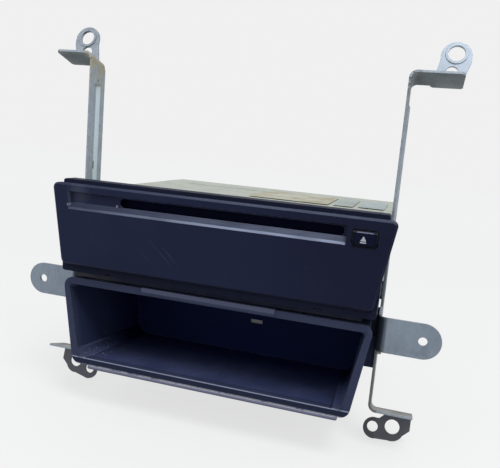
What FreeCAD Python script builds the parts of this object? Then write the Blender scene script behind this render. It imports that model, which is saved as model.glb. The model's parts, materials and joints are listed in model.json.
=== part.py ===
"""In-dash disc changer: deck behind a black slot panel, open storage pocket below, two strap brackets.

Frame: X to the right, Y to the back, Z up, millimetres.  The origin lies midway between the two
screw holes of the brackets' side tabs, in the front face of the tabs.
"""
import FreeCAD
import Part
import Sketcher
import math
import os

DOC = FreeCAD.newDocument("disc_changer")
VEC = FreeCAD.Vector
SIDES = (("left", -1), ("right", 1))

# ---------------------------------------------------------------- driving dimensions
NUMBERS = {
    # discs and the room that the mechanism takes around them
    "disc_radius": 60.0,
    "deck_x": 8.1,
    "slot_room": 2.7,
    "tray_rim": 4.0,
    "deck_rim": 10.0,
    "guide_room": 7.5,
    "side_room": 17.5,
    "front_room": 24.0,
    "rear_room": 15.0,
    # deck case
    "case_bottom": 9.5,
    "case_sheet": 1.0,
    "case_apron": 6.0,
    "deck_rise": 11.5,
    "tray_rise": 9.0,
    "top_room": 2.3,
    # slot panel
    "panel_front": -22.0,
    "panel_plate": 3.6,
    "panel_skirt": 1.1,
    "panel_skirt_width": 5.0,
    "panel_corner": 3.0,
    "panel_edge_break": 0.9,
    "panel_over_top": 8.0,
    "panel_over_bottom": 0.4,
    "panel_drop": 2.3,
    "panel_lift": 5.2,
    # disc slot and its shallow recess
    "slot_height": 5.2,
    "slot_margin": 5.4,
    "recess_margin": 11.0,
    "recess_end": 1.2,
    "recess_above": 1.1,
    "recess_below": 3.9,
    "recess_depth": 2.4,
    "recess_lip": 1.2,
    # eject button
    "button_set": 10.5,
    "button_drop": 2.2,
    "button_width": 12.2,
    "button_height": 7.8,
    "button_proud": 0.6,
    "button_gap": 0.4,
    "button_corner": 1.0,
    "button_brow": 1.1,
    "button_flange": 1.0,
    "button_stem": 1.9,
    "switch_gap": 1.0,
    # frame behind the panel
    "frame_over_top": 3.4,
    "frame_over_bottom": 2.2,
    "frame_above": 6.9,
    "frame_lift": 3.0,
    "frame_wall": 3.0,
    "frame_top_bar": 3.9,
    "frame_depth": 9.3,
    "frame_flange": 2.0,
    # slot shutter
    "shutter_set": 3.5,
    "shutter_rise": 1.9,
    "shutter_overlap": 2.8,
    "shutter_sheet": 0.8,
    "shutter_barrel": 1.2,
    "shutter_pin": 0.8,
    "shutter_lug": 1.6,
    "pivot_clearance": 0.05,
    "run_gap": 0.4,
    # storage pocket
    "pocket_x": -0.3,
    "rim_y": -15.3,
    "rim_drop": 1.2,
    "rim_over_top": 2.4,
    "rim_inset_bottom": 5.9,
    "rim_height": 52.4,
    "rim_thick": 3.0,
    "rim_band": 4.0,
    "rim_corner": 5.5,
    "pocket_depth": 78.0,
    "pocket_wall": 2.0,
    "pocket_side_draft": 4.0,
    "pocket_floor_fall": 7.2,
    "pocket_roof_fall": 1.5,
    "thumb_lip_left": -40.4,
    "thumb_lip_right": 38.2,
    "pocket_screw_drop": 21.3,
    # brackets, the same on both sides
    "plate_sheet": 1.3,
    "strip_front": 7.5,
    "strip_width": 16.0,
    "fold_radius": 3.0,
    "flange_slope": 16.5,
    "ear_radius": 8.2,
    "ear_hole": 4.5,
    "ear_ring": 5.9,
    "ear_slot_hole": 3.4,
    "ear_slot_rise": 10.2,
    "tab_hole_out": 26.9,
    "tab_hole_dia": 4.8,
    "tab_radius": 9.7,
    "foot_reach": 19.6,
    "foot_hole": 4.2,
    "foot_small_hole": 3.1,
    "foot_hole_drop": 10.0,
    "foot_hole_step": 11.2,
    "bead_foot": 58.0,
    "bead_head": 123.0,
    "bead_half_width": 4.2,
    "bead_depth": 1.0,
    "mark_hole": 0.9,
    "mark_hole_rise": 1.6,
    "mark_slot": 4.6,
    "mark_slot_rise": 13.0,
    "pad_radius": 5.2,
    "ear_flare": 2.6,
    "corner_nip": 2.4,
    # brackets, each side; the outward sizes are measured from the side of the case
    "plate_gap_left": 3.7,
    "plate_gap_right": 2.65,
    "shelf_level_left": 140.1,
    "shelf_level_right": 138.7,
    "shelf_reach_left": 21.4,
    "shelf_reach_right": 21.3,
    "shelf_out_left": 28.5,
    "shelf_out_right": 30.3,
    "ear_out_left": 23.2,
    "ear_out_right": 25.3,
    "ear_rise_left": 19.5,
    "ear_rise_right": 21.0,
    "ear_crown_left": 0.9,
    "ear_crown_right": 1.5,
    "foot_level_left": -45.3,
    "foot_level_right": -46.25,
    "foot_out_left": 25.8,
    "foot_out_right": 27.3,
    "foot_hole_out_left": 15.8,
    "foot_hole_out_right": 17.3,
    "foot_small_drop_left": 13.5,
    "foot_small_drop_right": 11.9,
    # screws
    "screw_radius": 1.5,
    "screw_head_radius": 3.0,
    "screw_head": 2.0,
    "screw_length": 4.5,
    "screw_hole_room": 0.1,
    "screw_low_rise": 11.5,
    "screw_high_drop": 12.5,
    # playback deck
    "deck_sheet": 1.2,
    "deck_setback": 4.0,
    "deck_overhang": 6.0,
    "rod_radius": 1.5,
    "rod_drop": 5.0,
    "rod_spread": 20.0,
    "sled_depth": 14.0,
    "motor_radius": 10.0,
    # loading roller
    "roller_set": 12.0,
    "disc_drop": 1.6,
    "roller_radius": 5.0,
    "shaft_radius": 1.5,
    # tray stack and lift
    "tray_count": 6.0,
    "tray_sheet": 1.0,
    "tray_pitch": 3.2,
    "lift_travel": 8.0,
    "cam_travel": 16.0,
    "lift_base": 3.0,
    "pin_radius": 1.5,
    "gear_module": 0.5,
}


class Size:
    """A number together with the sheet expression that gives it."""

    def __init__(self, value, text):
        self.value = value
        self.text = text

    def _join(self, other, sign, swap=False):
        other = size(other)
        a, b = (other, self) if swap else (self, other)
        values = {"+": lambda: a.value + b.value, "-": lambda: a.value - b.value,
                  "*": lambda: a.value * b.value, "/": lambda: a.value / b.value}
        return Size(values[sign](), "(%s %s %s)" % (a.text, sign, b.text))

    def __add__(self, other):
        return self._join(other, "+")

    def __radd__(self, other):
        return self._join(other, "+", True)

    def __sub__(self, other):
        return self._join(other, "-")

    def __rsub__(self, other):
        return self._join(other, "-", True)

    def __mul__(self, other):
        return self._join(other, "*")

    def __rmul__(self, other):
        return self._join(other, "*", True)

    def __truediv__(self, other):
        return self._join(other, "/")

    def __neg__(self):
        return Size(-self.value, "(0 - %s)" % self.text)

    def __float__(self):
        return float(self.value)


def size(item):
    return item if isinstance(item, Size) else Size(float(item), "(%.6f)" % item)


class Sizes:
    """Every alias of the sheet as an attribute."""


SHEET = DOC.addObject("Spreadsheet::Sheet", "dims")
D = Sizes()
for row, (alias, number) in enumerate(NUMBERS.items(), start=1):
    SHEET.set("A%d" % row, alias.replace("_", " "))
    SHEET.set("B%d" % row, repr(number))
    SHEET.setAlias("B%d" % row, alias)
    setattr(D, alias, Size(number, "dims." + alias))
DOC.recompute()

# sizes that follow from what fits inside what
D.slot_centre = D.deck_x
D.slot_length = 2 * (D.disc_radius + D.slot_room)
D.tray_half_width = D.disc_radius + D.tray_rim
D.deck_half_width = D.disc_radius + D.deck_rim
D.guide_x = D.tray_half_width + D.guide_room
D.case_width = 2 * (D.guide_x + D.side_room)
D.frame_back = D.panel_front + D.panel_plate + D.panel_skirt + D.frame_depth
D.disc_y = D.frame_back + D.front_room + D.disc_radius
D.case_depth = D.front_room + 2 * D.disc_radius + D.rear_room
D.deck_level = D.case_bottom + D.deck_rise
D.tray_level = D.deck_level + D.tray_rise
D.case_height = D.deck_rise + D.tray_rise + D.tray_count * D.tray_pitch + D.lift_travel + D.top_room
D.case_top = D.case_bottom + D.case_height
D.frame_top = D.case_top + D.frame_above
D.frame_bottom = D.case_bottom + D.frame_lift
D.frame_half_top = D.case_width / 2 + D.frame_over_top
D.frame_half_bottom = D.case_width / 2 + D.frame_over_bottom
D.panel_top_width = D.case_width + 2 * D.panel_over_top
D.panel_bottom_width = D.case_width + 2 * D.panel_over_bottom
D.panel_top = D.frame_top - D.panel_drop
D.panel_bottom = D.frame_bottom + D.panel_lift
D.slot_level = D.panel_top - D.slot_margin - D.slot_height / 2
D.slot_left = D.slot_centre - D.slot_length / 2
D.slot_right = D.slot_centre + D.slot_length / 2
D.recess_left = D.recess_margin - D.panel_top_width / 2
D.recess_right = D.slot_right + D.recess_end
D.recess_top = D.slot_level + D.slot_height / 2 + D.recess_above
D.recess_bottom = D.slot_level - D.slot_height / 2 - D.recess_below
D.button_x = D.slot_right + D.button_set
D.button_z = D.slot_level - D.button_drop
D.shutter_y = D.panel_front + D.panel_plate + D.panel_skirt + D.shutter_set
D.shutter_z = D.slot_level + D.slot_height / 2 + D.shutter_rise
D.shutter_drop = D.slot_height + D.shutter_overlap
D.rim_top = D.case_bottom - D.rim_drop
D.rim_top_width = D.case_width + 2 * D.rim_over_top
D.rim_bottom_width = D.case_width - 2 * D.rim_inset_bottom
D.pocket_screw_z = D.rim_top - D.pocket_screw_drop
D.screw_y = D.strip_front + D.strip_width / 2
D.screw_low = D.case_bottom + D.screw_low_rise
D.screw_high = D.case_top - D.screw_high_drop
D.rod_level = D.deck_level - D.rod_drop
D.deck_front = D.disc_y - D.disc_radius + D.deck_setback
D.deck_back = D.disc_y + D.disc_radius + D.deck_overhang
D.roller_y = D.frame_back + D.roller_set
D.roller_z = D.slot_level - D.disc_drop - D.roller_radius

PIECES = []


def keep(item, label):
    item.Label = label
    PIECES.append(item)
    return item


def bind(item, prop, value):
    item.setExpression(prop, size(value).text)


# ---------------------------------------------------------------- Part primitives
def box(x, y, z):
    """A block between the pairs of limits x, y and z."""
    item = DOC.addObject("Part::Box", "block")
    for pair, prop, axis in ((x, "Length", "x"), (y, "Width", "y"), (z, "Height", "z")):
        low, high = size(pair[0]), size(pair[1])
        bind(item, prop, high - low)
        bind(item, "Placement.Base." + axis, low)
    return item


def cylinder(axis, radius, limits, centre):
    """A cylinder along the named axis; centre gives the two other coordinates in order."""
    item = DOC.addObject("Part::Cylinder", "round")
    low, high = size(limits[0]), size(limits[1])
    turn = {"x": FreeCAD.Rotation(VEC(0, 1, 0), 90), "y": FreeCAD.Rotation(VEC(1, 0, 0), -90),
            "z": FreeCAD.Rotation()}[axis]
    item.Placement = FreeCAD.Placement(VEC(0, 0, 0), turn)
    bind(item, "Radius", radius)
    bind(item, "Height", high - low)
    places = {"x": (low, centre[0], centre[1]), "y": (centre[0], low, centre[1]),
              "z": (centre[0], centre[1], low)}[axis]
    for name, value in zip("xyz", places):
        bind(item, "Placement.Base." + name, value)
    return item


def fuse(*items):
    if len(items) == 1:
        return items[0]
    item = DOC.addObject("Part::MultiFuse", "joined")
    item.Shapes = list(items)
    item.Refine = True
    return item


def cut(base, *tools):
    item = DOC.addObject("Part::Cut", "trimmed")
    item.Base = base
    item.Tool = fuse(*tools)
    item.Refine = True
    return item


# ---------------------------------------------------------------- sketched bodies
def new_body(label):
    item = DOC.addObject("PartDesign::Body", "body")
    return keep(item, label)


def plane_of(body, role):
    for feature in body.Origin.OriginFeatures:
        if feature.Role == role:
            return feature
    raise ValueError(role)


def outline(body, role, offset, points):
    """A closed polygon sketch; every corner is bound to the sheet."""
    item = body.newObject("Sketcher::SketchObject", "outline")
    item.AttachmentSupport = [(plane_of(body, role), "")]
    item.MapMode = "FlatFace"
    bind(item, "AttachmentOffset.Base.z", offset)
    corners = [(size(a), size(b)) for a, b in points]
    count = len(corners)
    for i in range(count):
        a, b = corners[i], corners[(i + 1) % count]
        item.addGeometry(Part.LineSegment(VEC(a[0].value, a[1].value, 0), VEC(b[0].value, b[1].value, 0)))
    for i in range(count):
        item.addConstraint(Sketcher.Constraint("Coincident", i, 2, (i + 1) % count, 1))
    for i, (a, b) in enumerate(corners):
        for kind, value in (("DistanceX", a), ("DistanceY", b)):
            place = item.addConstraint(Sketcher.Constraint(kind, -1, 1, i, 1, value.value))
            item.setExpression("Constraints[%d]" % place, value.text)
    return item


def rectangle(body, role, offset, x, y):
    return outline(body, role, offset, ((x[0], y[0]), (x[1], y[0]), (x[1], y[1]), (x[0], y[1])))


def ring(body, role, offset, centre, radius):
    """A circle sketch bound to the sheet."""
    item = body.newObject("Sketcher::SketchObject", "circle")
    item.AttachmentSupport = [(plane_of(body, role), "")]
    item.MapMode = "FlatFace"
    bind(item, "AttachmentOffset.Base.z", offset)
    x, y, r = size(centre[0]), size(centre[1]), size(radius)
    item.addGeometry(Part.Circle(VEC(x.value, y.value, 0), VEC(0, 0, 1), r.value))
    for kind, value in (("DistanceX", x), ("DistanceY", y)):
        place = item.addConstraint(Sketcher.Constraint(kind, -1, 1, 0, 3, value.value))
        item.setExpression("Constraints[%d]" % place, value.text)
    place = item.addConstraint(Sketcher.Constraint("Radius", 0, r.value))
    item.setExpression("Constraints[%d]" % place, r.text)
    return item


def pad(body, sketch, length, back=False):
    item = body.newObject("PartDesign::Pad", "pad")
    item.Profile = sketch
    bind(item, "Length", length)
    item.Reversed = back
    body.Tip = item
    return item


def pocket(body, sketch, length, back=False):
    item = body.newObject("PartDesign::Pocket", "pocket")
    item.Profile = sketch
    bind(item, "Length", length)
    item.Reversed = back
    body.Tip = item
    return item


def loft(body, kind, sketches):
    item = body.newObject("PartDesign::" + kind, "loft")
    item.Profile = sketches[0]
    item.Sections = sketches[1:]
    item.Ruled = True
    body.Tip = item
    return item


def row_of(body, feature, sketch, axis, length, count):
    item = body.newObject("PartDesign::LinearPattern", "row")
    item.Originals = [feature]
    item.Direction = (sketch, [axis])
    bind(item, "Length", length)
    item.Occurrences = count
    body.Tip = item
    return item


def edge_names(feature, test):
    names = []
    for number, edge in enumerate(feature.Shape.Edges, start=1):
        ends = [v.Point for v in edge.Vertexes]
        if len(ends) == 2 and test(ends[0], ends[1]):
            names.append("Edge%d" % number)
    if not names:
        raise RuntimeError("no edge to round on " + feature.Name)
    return names


def round_edges(body, test, radius, kind="Fillet"):
    """Rounds or chamfers the edges of the body's last feature that pass the test."""
    DOC.recompute()
    base = body.Tip
    names = edge_names(base, test)
    item = body.newObject("PartDesign::" + kind, kind.lower())
    item.Base = (base, names)
    bind(item, "Radius" if kind == "Fillet" else "Size", radius)
    body.Tip = item
    return item


def along(axis, where=None):
    """A test for straight edges along an axis, within limits on the other coordinates."""
    def test(a, b):
        step = b.sub(a)
        parts = {"x": step.x, "y": step.y, "z": step.z}
        if abs(parts[axis]) < 0.02 or any(abs(v) > 1e-4 for k, v in parts.items() if k != axis):
            return False
        return where is None or where(a)
    return test


# ---------------------------------------------------------------- slot panel
panel_back = D.panel_front + D.panel_plate
skirt_back = panel_back + D.panel_skirt


def trapezoid(top_width, bottom_width, top, bottom, inset=0, middle=0):
    """Corners of a trapezoid about an upright middle line, drawn inwards by the inset."""
    low = bottom_width / 2 - inset
    high = top_width / 2 - inset
    return ((middle - low, bottom + inset), (middle + low, bottom + inset),
            (middle + high, top - inset), (middle - high, top - inset))


panel = new_body("slot_panel")
face = outline(panel, "XZ_Plane", -D.panel_front,
               trapezoid(D.panel_top_width, D.panel_bottom_width, D.panel_top, D.panel_bottom))
pad(panel, face, D.panel_plate + D.panel_skirt, back=True)
round_edges(panel, along("y"), D.panel_corner)
panel_face = float(D.panel_front)
round_edges(panel, lambda a, b: max(a.y, b.y) < panel_face + 0.01, D.panel_edge_break, "Chamfer")
inner = outline(panel, "XZ_Plane", -skirt_back,
                trapezoid(D.panel_top_width, D.panel_bottom_width, D.panel_top, D.panel_bottom,
                          D.panel_skirt_width))
pocket(panel, inner, D.panel_skirt, back=True)
slot = rectangle(panel, "XZ_Plane", -(D.panel_front - 1),
                 (D.slot_left, D.slot_right),
                 (D.slot_level - D.slot_height / 2, D.slot_level + D.slot_height / 2))
pocket(panel, slot, D.panel_plate + 2, back=False)
slot_ends = (float(D.slot_left), float(D.slot_right))
round_edges(panel, along("y", where=lambda p: min(abs(p.x - e) for e in slot_ends) < 0.01),
            D.slot_height / 2 - 0.3)
# shallow recess whose lower edge is a slope that leads the disc in
recess = outline(panel, "YZ_Plane", D.recess_left, (
    (D.panel_front - 1, D.recess_bottom - 1), (D.panel_front, D.recess_bottom),
    (D.panel_front + D.recess_lip, D.recess_bottom + D.recess_lip),
    (D.panel_front + D.recess_depth, D.recess_bottom + D.recess_below),
    (D.panel_front + D.recess_depth, D.recess_top - 0.3),
    (D.panel_front, D.recess_top), (D.panel_front - 1, D.recess_top)))
pocket(panel, recess, D.recess_right - D.recess_left, back=True)
button_hole = rectangle(panel, "XZ_Plane", -(D.panel_front - 1),
                        (D.button_x - D.button_width / 2 - D.button_gap,
                         D.button_x + D.button_width / 2 + D.button_gap),
                        (D.button_z - D.button_height / 2 - D.button_gap,
                         D.button_z + D.button_height / 2 + D.button_gap))
pocket(panel, button_hole, D.panel_plate + 2, back=False)


def button_corner_at(point):
    """True near the button's hole and nowhere else on the panel."""
    return (abs(point.x - float(D.button_x)) < float(D.button_width) / 2 + 1
            and abs(point.z - float(D.button_z)) < float(D.button_height) / 2 + 1)


round_edges(panel, along("y", where=button_corner_at), D.button_corner + D.button_gap)

# ---------------------------------------------------------------- eject button and its switch
button = new_body("eject_button")
cap = rectangle(button, "XZ_Plane", -(D.panel_front - D.button_proud),
                (D.button_x - D.button_width / 2, D.button_x + D.button_width / 2),
                (D.button_z - D.button_height / 2, D.button_z + D.button_height / 2))
cap_depth = panel_back + D.button_gap - (D.panel_front - D.button_proud)
pad(button, cap, cap_depth, back=True)
button_face = float(D.panel_front - D.button_proud)
button_crown = float(D.button_z + D.button_height / 2)
round_edges(button, lambda a, b: max(a.y, b.y) < button_face + 0.01 and min(a.z, b.z) > button_crown - 0.01,
            D.button_brow, "Chamfer")
round_edges(button, along("y"), D.button_corner)
lip = rectangle(button, "XZ_Plane", -(panel_back + D.button_gap),
                (D.button_x - D.button_width / 2 - 1.2, D.button_x + D.button_width / 2),
                (D.button_z - D.button_height / 2 - 0.9, D.button_z + D.button_height / 2 + 0.9))
pad(button, lip, D.button_flange, back=True)
stem_front = panel_back + D.button_gap + D.button_flange
stem = ring(button, "XZ_Plane", -stem_front, (D.button_x, D.button_z), 2.0)
pad(button, stem, D.button_stem, back=True)

flange_front = D.frame_back - D.frame_flange
board_front = flange_front - 1.6
switch_front = stem_front + D.button_stem + D.switch_gap
board_left = D.slot_right + D.shutter_lug + 3.1
board_right = D.frame_half_bottom - D.frame_wall - D.run_gap
keep(cut(box((board_left, board_right), (board_front, flange_front), (D.button_z - 9.9, D.button_z + 4.1)),
         cylinder("y", 1.2, (board_front - 1, flange_front + 1), (board_left + 3, D.button_z - 7))),
     "button_board")
switch_base = box((D.button_x - 3, D.button_x + 3), (switch_front + 1, board_front),
                  (D.button_z - 3, D.button_z + 3))
switch_dome = cylinder("y", 1.7, (switch_front, switch_front + 1), (D.button_x, D.button_z))
keep(fuse(switch_base, switch_dome), "eject_switch")

# ---------------------------------------------------------------- frame behind the panel
frame = new_body("panel_frame")
plan = outline(frame, "XZ_Plane", -skirt_back,
               trapezoid(2 * D.frame_half_top, 2 * D.frame_half_bottom, D.frame_top, D.frame_bottom))
pad(frame, plan, D.frame_back - skirt_back, back=True)
round_edges(frame, along("y"), 1.5)
window = rectangle(frame, "XZ_Plane", -(skirt_back - 1),
                   (D.frame_wall - D.frame_half_bottom, D.frame_half_bottom - D.frame_wall),
                   (D.frame_bottom + D.frame_wall, D.frame_top - D.frame_top_bar))
pocket(frame, window, D.frame_back - D.frame_flange - skirt_back + 1, back=False)
case_half = D.case_width / 2
neck = rectangle(frame, "XZ_Plane", -(D.frame_back - D.frame_flange - 1), (-(case_half - 4), case_half - 4),
                 (D.frame_bottom + D.frame_wall, D.frame_top - D.frame_top_bar))
pocket(frame, neck, D.frame_flange + 2, back=False)
for notch_x in (29.0 - case_half, case_half - 27.5):
    notch = rectangle(frame, "XZ_Plane", -(skirt_back - 1), (notch_x - 2.5, notch_x + 2.5),
                      (D.frame_bottom - 1, D.frame_bottom + 1.6))
    pocket(frame, notch, 3.0, back=False)
shutter_half = D.slot_length / 2 + 1.9
lug_inner = shutter_half + D.run_gap
for name, side in SIDES:
    inner_x = D.slot_centre + side * lug_inner
    outer_x = D.slot_centre + side * (lug_inner + D.shutter_lug)
    limits = (outer_x, inner_x) if side < 0 else (inner_x, outer_x)
    lug = rectangle(frame, "XZ_Plane", -(D.shutter_y - 1.9), limits,
                    (D.shutter_z - 2.2, D.frame_top - D.frame_top_bar + 0.5))
    pad(frame, lug, 3.8, back=True)
    bore = ring(frame, "YZ_Plane", limits[0] - 1, (D.shutter_y, D.shutter_z),
                D.shutter_pin + D.pivot_clearance)
    pocket(frame, bore, D.shutter_lug + 2, back=True)

shutter_plate = box((D.slot_centre - shutter_half, D.slot_centre + shutter_half),
                    (D.shutter_y - D.shutter_sheet / 2, D.shutter_y + D.shutter_sheet / 2),
                    (D.shutter_z - D.shutter_drop, D.shutter_z))
barrel = cylinder("x", D.shutter_barrel, (D.slot_centre - shutter_half, D.slot_centre + shutter_half),
                  (D.shutter_y, D.shutter_z))
pin_half = lug_inner + D.shutter_lug + 0.6
pin = cylinder("x", D.shutter_pin, (D.slot_centre - pin_half, D.slot_centre + pin_half),
               (D.shutter_y, D.shutter_z))
keep(fuse(shutter_plate, barrel, pin), "slot_shutter")

# ---------------------------------------------------------------- deck case and lid
case_front = D.frame_back
case_back = case_front + D.case_depth
lid_level = D.case_top - D.case_sheet
floor_level = D.case_bottom + D.case_sheet
case = new_body("deck_case")
block = rectangle(case, "XY_Plane", D.case_bottom, (-case_half, case_half), (case_front, case_back))
pad(case, block, D.case_height - D.case_sheet)
hollow = rectangle(case, "XY_Plane", lid_level + 1, (-(case_half - D.case_sheet), case_half - D.case_sheet),
                   (case_front - 1, case_back - D.case_sheet))
pocket(case, hollow, lid_level + 1 - floor_level)
apron = rectangle(case, "XY_Plane", D.case_bottom, (-(case_half - 5), case_half - 5),
                  (case_front - D.case_apron, case_front + 1))
pad(case, apron, D.case_sheet)
upturn = rectangle(case, "XY_Plane", D.case_bottom, (-(case_half - 5), case_half - 5),
                   (case_front - D.case_apron, case_front - D.case_apron + D.case_sheet))
pad(case, upturn, D.frame_bottom - D.case_bottom)
plug_x = (19.0 - case_half, 55.0 - case_half)
plug_z = (D.case_bottom + 14.5, D.case_bottom + 30.5)
rear_cut = rectangle(case, "XZ_Plane", -(case_back + 1), (plug_x[0] - 0.4, plug_x[1] + 0.4),
                     (plug_z[0] - 0.4, plug_z[1] + 0.4))
pocket(case, rear_cut, D.case_sheet + 3, back=True)
vent = rectangle(case, "XZ_Plane", -(case_back + 1), (0.0, 2.4), (D.case_bottom + 16.5, D.case_bottom + 34.5))
vent_cut = pocket(case, vent, D.case_sheet + 3, back=True)
row_of(case, vent_cut, vent, "H_Axis", 60.0, 11)
for level in (D.screw_low, D.screw_high):
    hole = ring(case, "YZ_Plane", -(case_half + 2), (D.screw_y, level), D.screw_radius + D.screw_hole_room)
    pocket(case, hole, D.case_width + 4, back=True)

lid_top = lid_level + D.case_sheet
lid = new_body("case_lid")
sheet_plan = rectangle(lid, "XY_Plane", lid_level, (-case_half, case_half),
                       (case_front, case_back + D.case_sheet))
pad(lid, sheet_plan, D.case_sheet)
turn_down = rectangle(lid, "XY_Plane", lid_level, (-(case_half - 2), case_half - 2),
                      (case_back, case_back + D.case_sheet))
pad(lid, turn_down, 9.0, back=True)
for name, side in SIDES:
    for start in (case_front + 48, case_back - 33):
        edge = (side * case_half, side * (case_half + 0.8))
        flap = rectangle(lid, "XY_Plane", lid_top, (min(edge, key=float), max(edge, key=float)),
                         (start, start + 22))
        pad(lid, flap, 9.5, back=True)
bead = rectangle(lid, "XY_Plane", lid_top, (19.0 - case_half, 109.0 - case_half),
                 (case_back - 33, case_back - 27))
pad(lid, bead, 0.5)
sight = ring(lid, "XY_Plane", lid_top + 1, (case_half - 6, case_front + 70), 1.6)
pocket(lid, sight, D.case_sheet + 2)

# ---------------------------------------------------------------- rear board and harness socket
board_y = case_back - D.case_sheet - 6.0
board_ends = (9.0 - case_half, case_half - 5)
keep(cut(box(board_ends, (board_y, board_y + 1.6), (floor_level, lid_level - 3)),
         cylinder("y", 1.6, (board_y - 1, board_y + 3), (board_ends[0] + 6, lid_level - 8.5)),
         cylinder("y", 1.6, (board_y - 1, board_y + 3), (board_ends[1] - 6, lid_level - 8.5))), "main_board")
chip_level = D.case_bottom + 16.5
keep(fuse(box((-26.0, -8.0), (board_y - 2.2, board_y), (chip_level, chip_level + 18)),
          box((10.0, 20.0), (board_y - 1.8, board_y), (chip_level + 4, chip_level + 14)),
          box((-26.0, 20.0), (board_y - 0.6, board_y), (chip_level + 7, chip_level + 10))), "control_chips")
socket_end = case_back + 9.0
shell_block = box(plug_x, (board_y + 1.6, socket_end), plug_z)
cavity = box((plug_x[0] + 1.6, plug_x[1] - 1.6), (case_back - 2, socket_end + 1),
             (plug_z[0] + 1.6, plug_z[1] - 1.6))
key_way = box((plug_x[0] + 14, plug_x[0] + 20), (case_back - 2, socket_end + 1),
              (plug_z[1] - 2, plug_z[1] + 1))
keep(cut(shell_block, cavity, key_way), "harness_socket")
pins = [box((plug_x[0] + 5 + 4 * i - 0.4, plug_x[0] + 5 + 4 * i + 0.4), (case_back - 2, case_back + 4),
            (level - 0.4, level + 0.4)) for i in range(7) for level in (plug_z[0] + 4.5, plug_z[0] + 11)]
comb = box((plug_x[0] + 4, plug_x[1] - 4), (case_back - 2, case_back - 1.2),
           (plug_z[0] + 3.5, plug_z[0] + 12))
keep(fuse(comb, *pins), "socket_pins")

# ---------------------------------------------------------------- storage pocket
rim_bottom = D.rim_top - D.rim_height
rim_back = D.rim_y + D.rim_thick
pocket_body = new_body("storage_pocket")
rim = outline(pocket_body, "XZ_Plane", -D.rim_y,
              trapezoid(D.rim_top_width, D.rim_bottom_width, D.rim_top, rim_bottom, middle=D.pocket_x))
pad(pocket_body, rim, D.rim_thick, back=True)
round_edges(pocket_body, along("y"), D.rim_corner)
tub_back = D.rim_y + D.pocket_depth + D.pocket_wall


def tub_outline(y, wall):
    """Section of the tub at depth y; wall 0 gives the cavity and the wall gives the skin."""
    share = (y - D.rim_y) / D.pocket_depth
    top_half = D.rim_top_width / 2 - D.rim_band - D.pocket_side_draft * share + wall
    bottom_half = D.rim_bottom_width / 2 - D.rim_band - D.pocket_side_draft * share * 0.6 + wall
    top = D.rim_top - D.rim_band - D.pocket_roof_fall * share + wall
    bottom = rim_bottom + D.rim_band - D.pocket_floor_fall * share - wall
    return trapezoid(2 * top_half, 2 * bottom_half, top, bottom, middle=D.pocket_x)


loft(pocket_body, "AdditiveLoft", [
    outline(pocket_body, "XZ_Plane", -(D.rim_y + 1), tub_outline(D.rim_y + 1, D.pocket_wall)),
    outline(pocket_body, "XZ_Plane", -tub_back, tub_outline(tub_back, D.pocket_wall))])
PLATE_INNER = {"left": case_half + D.plate_gap_left, "right": case_half + D.plate_gap_right}
for name, side in SIDES:
    reach = (side * (case_half - 19), side * PLATE_INNER[name])
    boss = rectangle(pocket_body, "XY_Plane", D.pocket_screw_z - 9,
                     (min(reach, key=float), max(reach, key=float)), (D.screw_y - 7.5, D.screw_y + 7.5))
    pad(pocket_body, boss, 18.0)
loft(pocket_body, "SubtractiveLoft", [
    outline(pocket_body, "XZ_Plane", -(D.rim_y - 1), tub_outline(D.rim_y - 1, size(0))),
    outline(pocket_body, "XZ_Plane", -(tub_back - D.pocket_wall),
            tub_outline(tub_back - D.pocket_wall, size(0)))])
thumb_lip = rectangle(pocket_body, "XZ_Plane", -(D.rim_y - 0.9), (D.thumb_lip_left, D.thumb_lip_right),
                      (D.rim_top - 3.4, D.rim_top + 0.6))
pad(pocket_body, thumb_lip, 3.0, back=True)
lip_half = D.rim_bottom_width / 2 - 10.3
under_lip = rectangle(pocket_body, "XZ_Plane", -rim_back, (-lip_half, lip_half),
                      (rim_bottom - 2.4, rim_bottom + 3))
pad(pocket_body, under_lip, 2.6, back=True)
back_hole = rectangle(pocket_body, "XZ_Plane", -(tub_back + 1), (4.5, 13.3),
                      (D.rim_top - 34.7, D.rim_top - 31.7))
pocket(pocket_body, back_hole, D.pocket_wall + 2, back=True)
for name, side in SIDES:
    hole = ring(pocket_body, "YZ_Plane", side * (PLATE_INNER[name] + 1), (D.screw_y, D.pocket_screw_z),
                D.screw_radius + D.screw_hole_room)
    pocket(pocket_body, hole, D.screw_length + 1, back=side < 0)


# ---------------------------------------------------------------- strap brackets
def prism(points, along_axis, low, high):
    """Extrudes a polygon given in the plane across the axis: x -> (y, z), y -> (x, z), z -> (x, y)."""
    order = {"x": lambda a, b: VEC(low, a, b), "y": lambda a, b: VEC(a, low, b),
             "z": lambda a, b: VEC(a, b, low)}
    step = {"x": VEC(high - low, 0, 0), "y": VEC(0, high - low, 0), "z": VEC(0, 0, high - low)}
    corners = [order[along_axis](a, b) for a, b in points]
    wire = Part.makePolygon(corners + [corners[0]])
    return Part.Face(wire).extrude(step[along_axis])


def bar(x0, x1, y0, y1, z0, z1):
    return Part.makeBox(x1 - x0, y1 - y0, z1 - z0, VEC(x0, y0, z0))


def rod(start, direction, radius, length):
    return Part.makeCylinder(radius, length, VEC(*start), VEC(*direction))


def quarter_bend(centre, axis, inner, sheet, length, corner):
    """A quarter tube about an axis line; corner is the quadrant box that keeps the quarter."""
    outer = rod(centre, axis, inner + sheet, length)
    if inner > 0.01:
        outer = outer.cut(rod(centre, axis, inner, length))
    return outer.common(corner)


def lobe(x, z, radius, near, far):
    """A disc across Y, used to round the end of an ear."""
    return rod((x, near, z), (0, 1, 0), radius, far - near)


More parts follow.
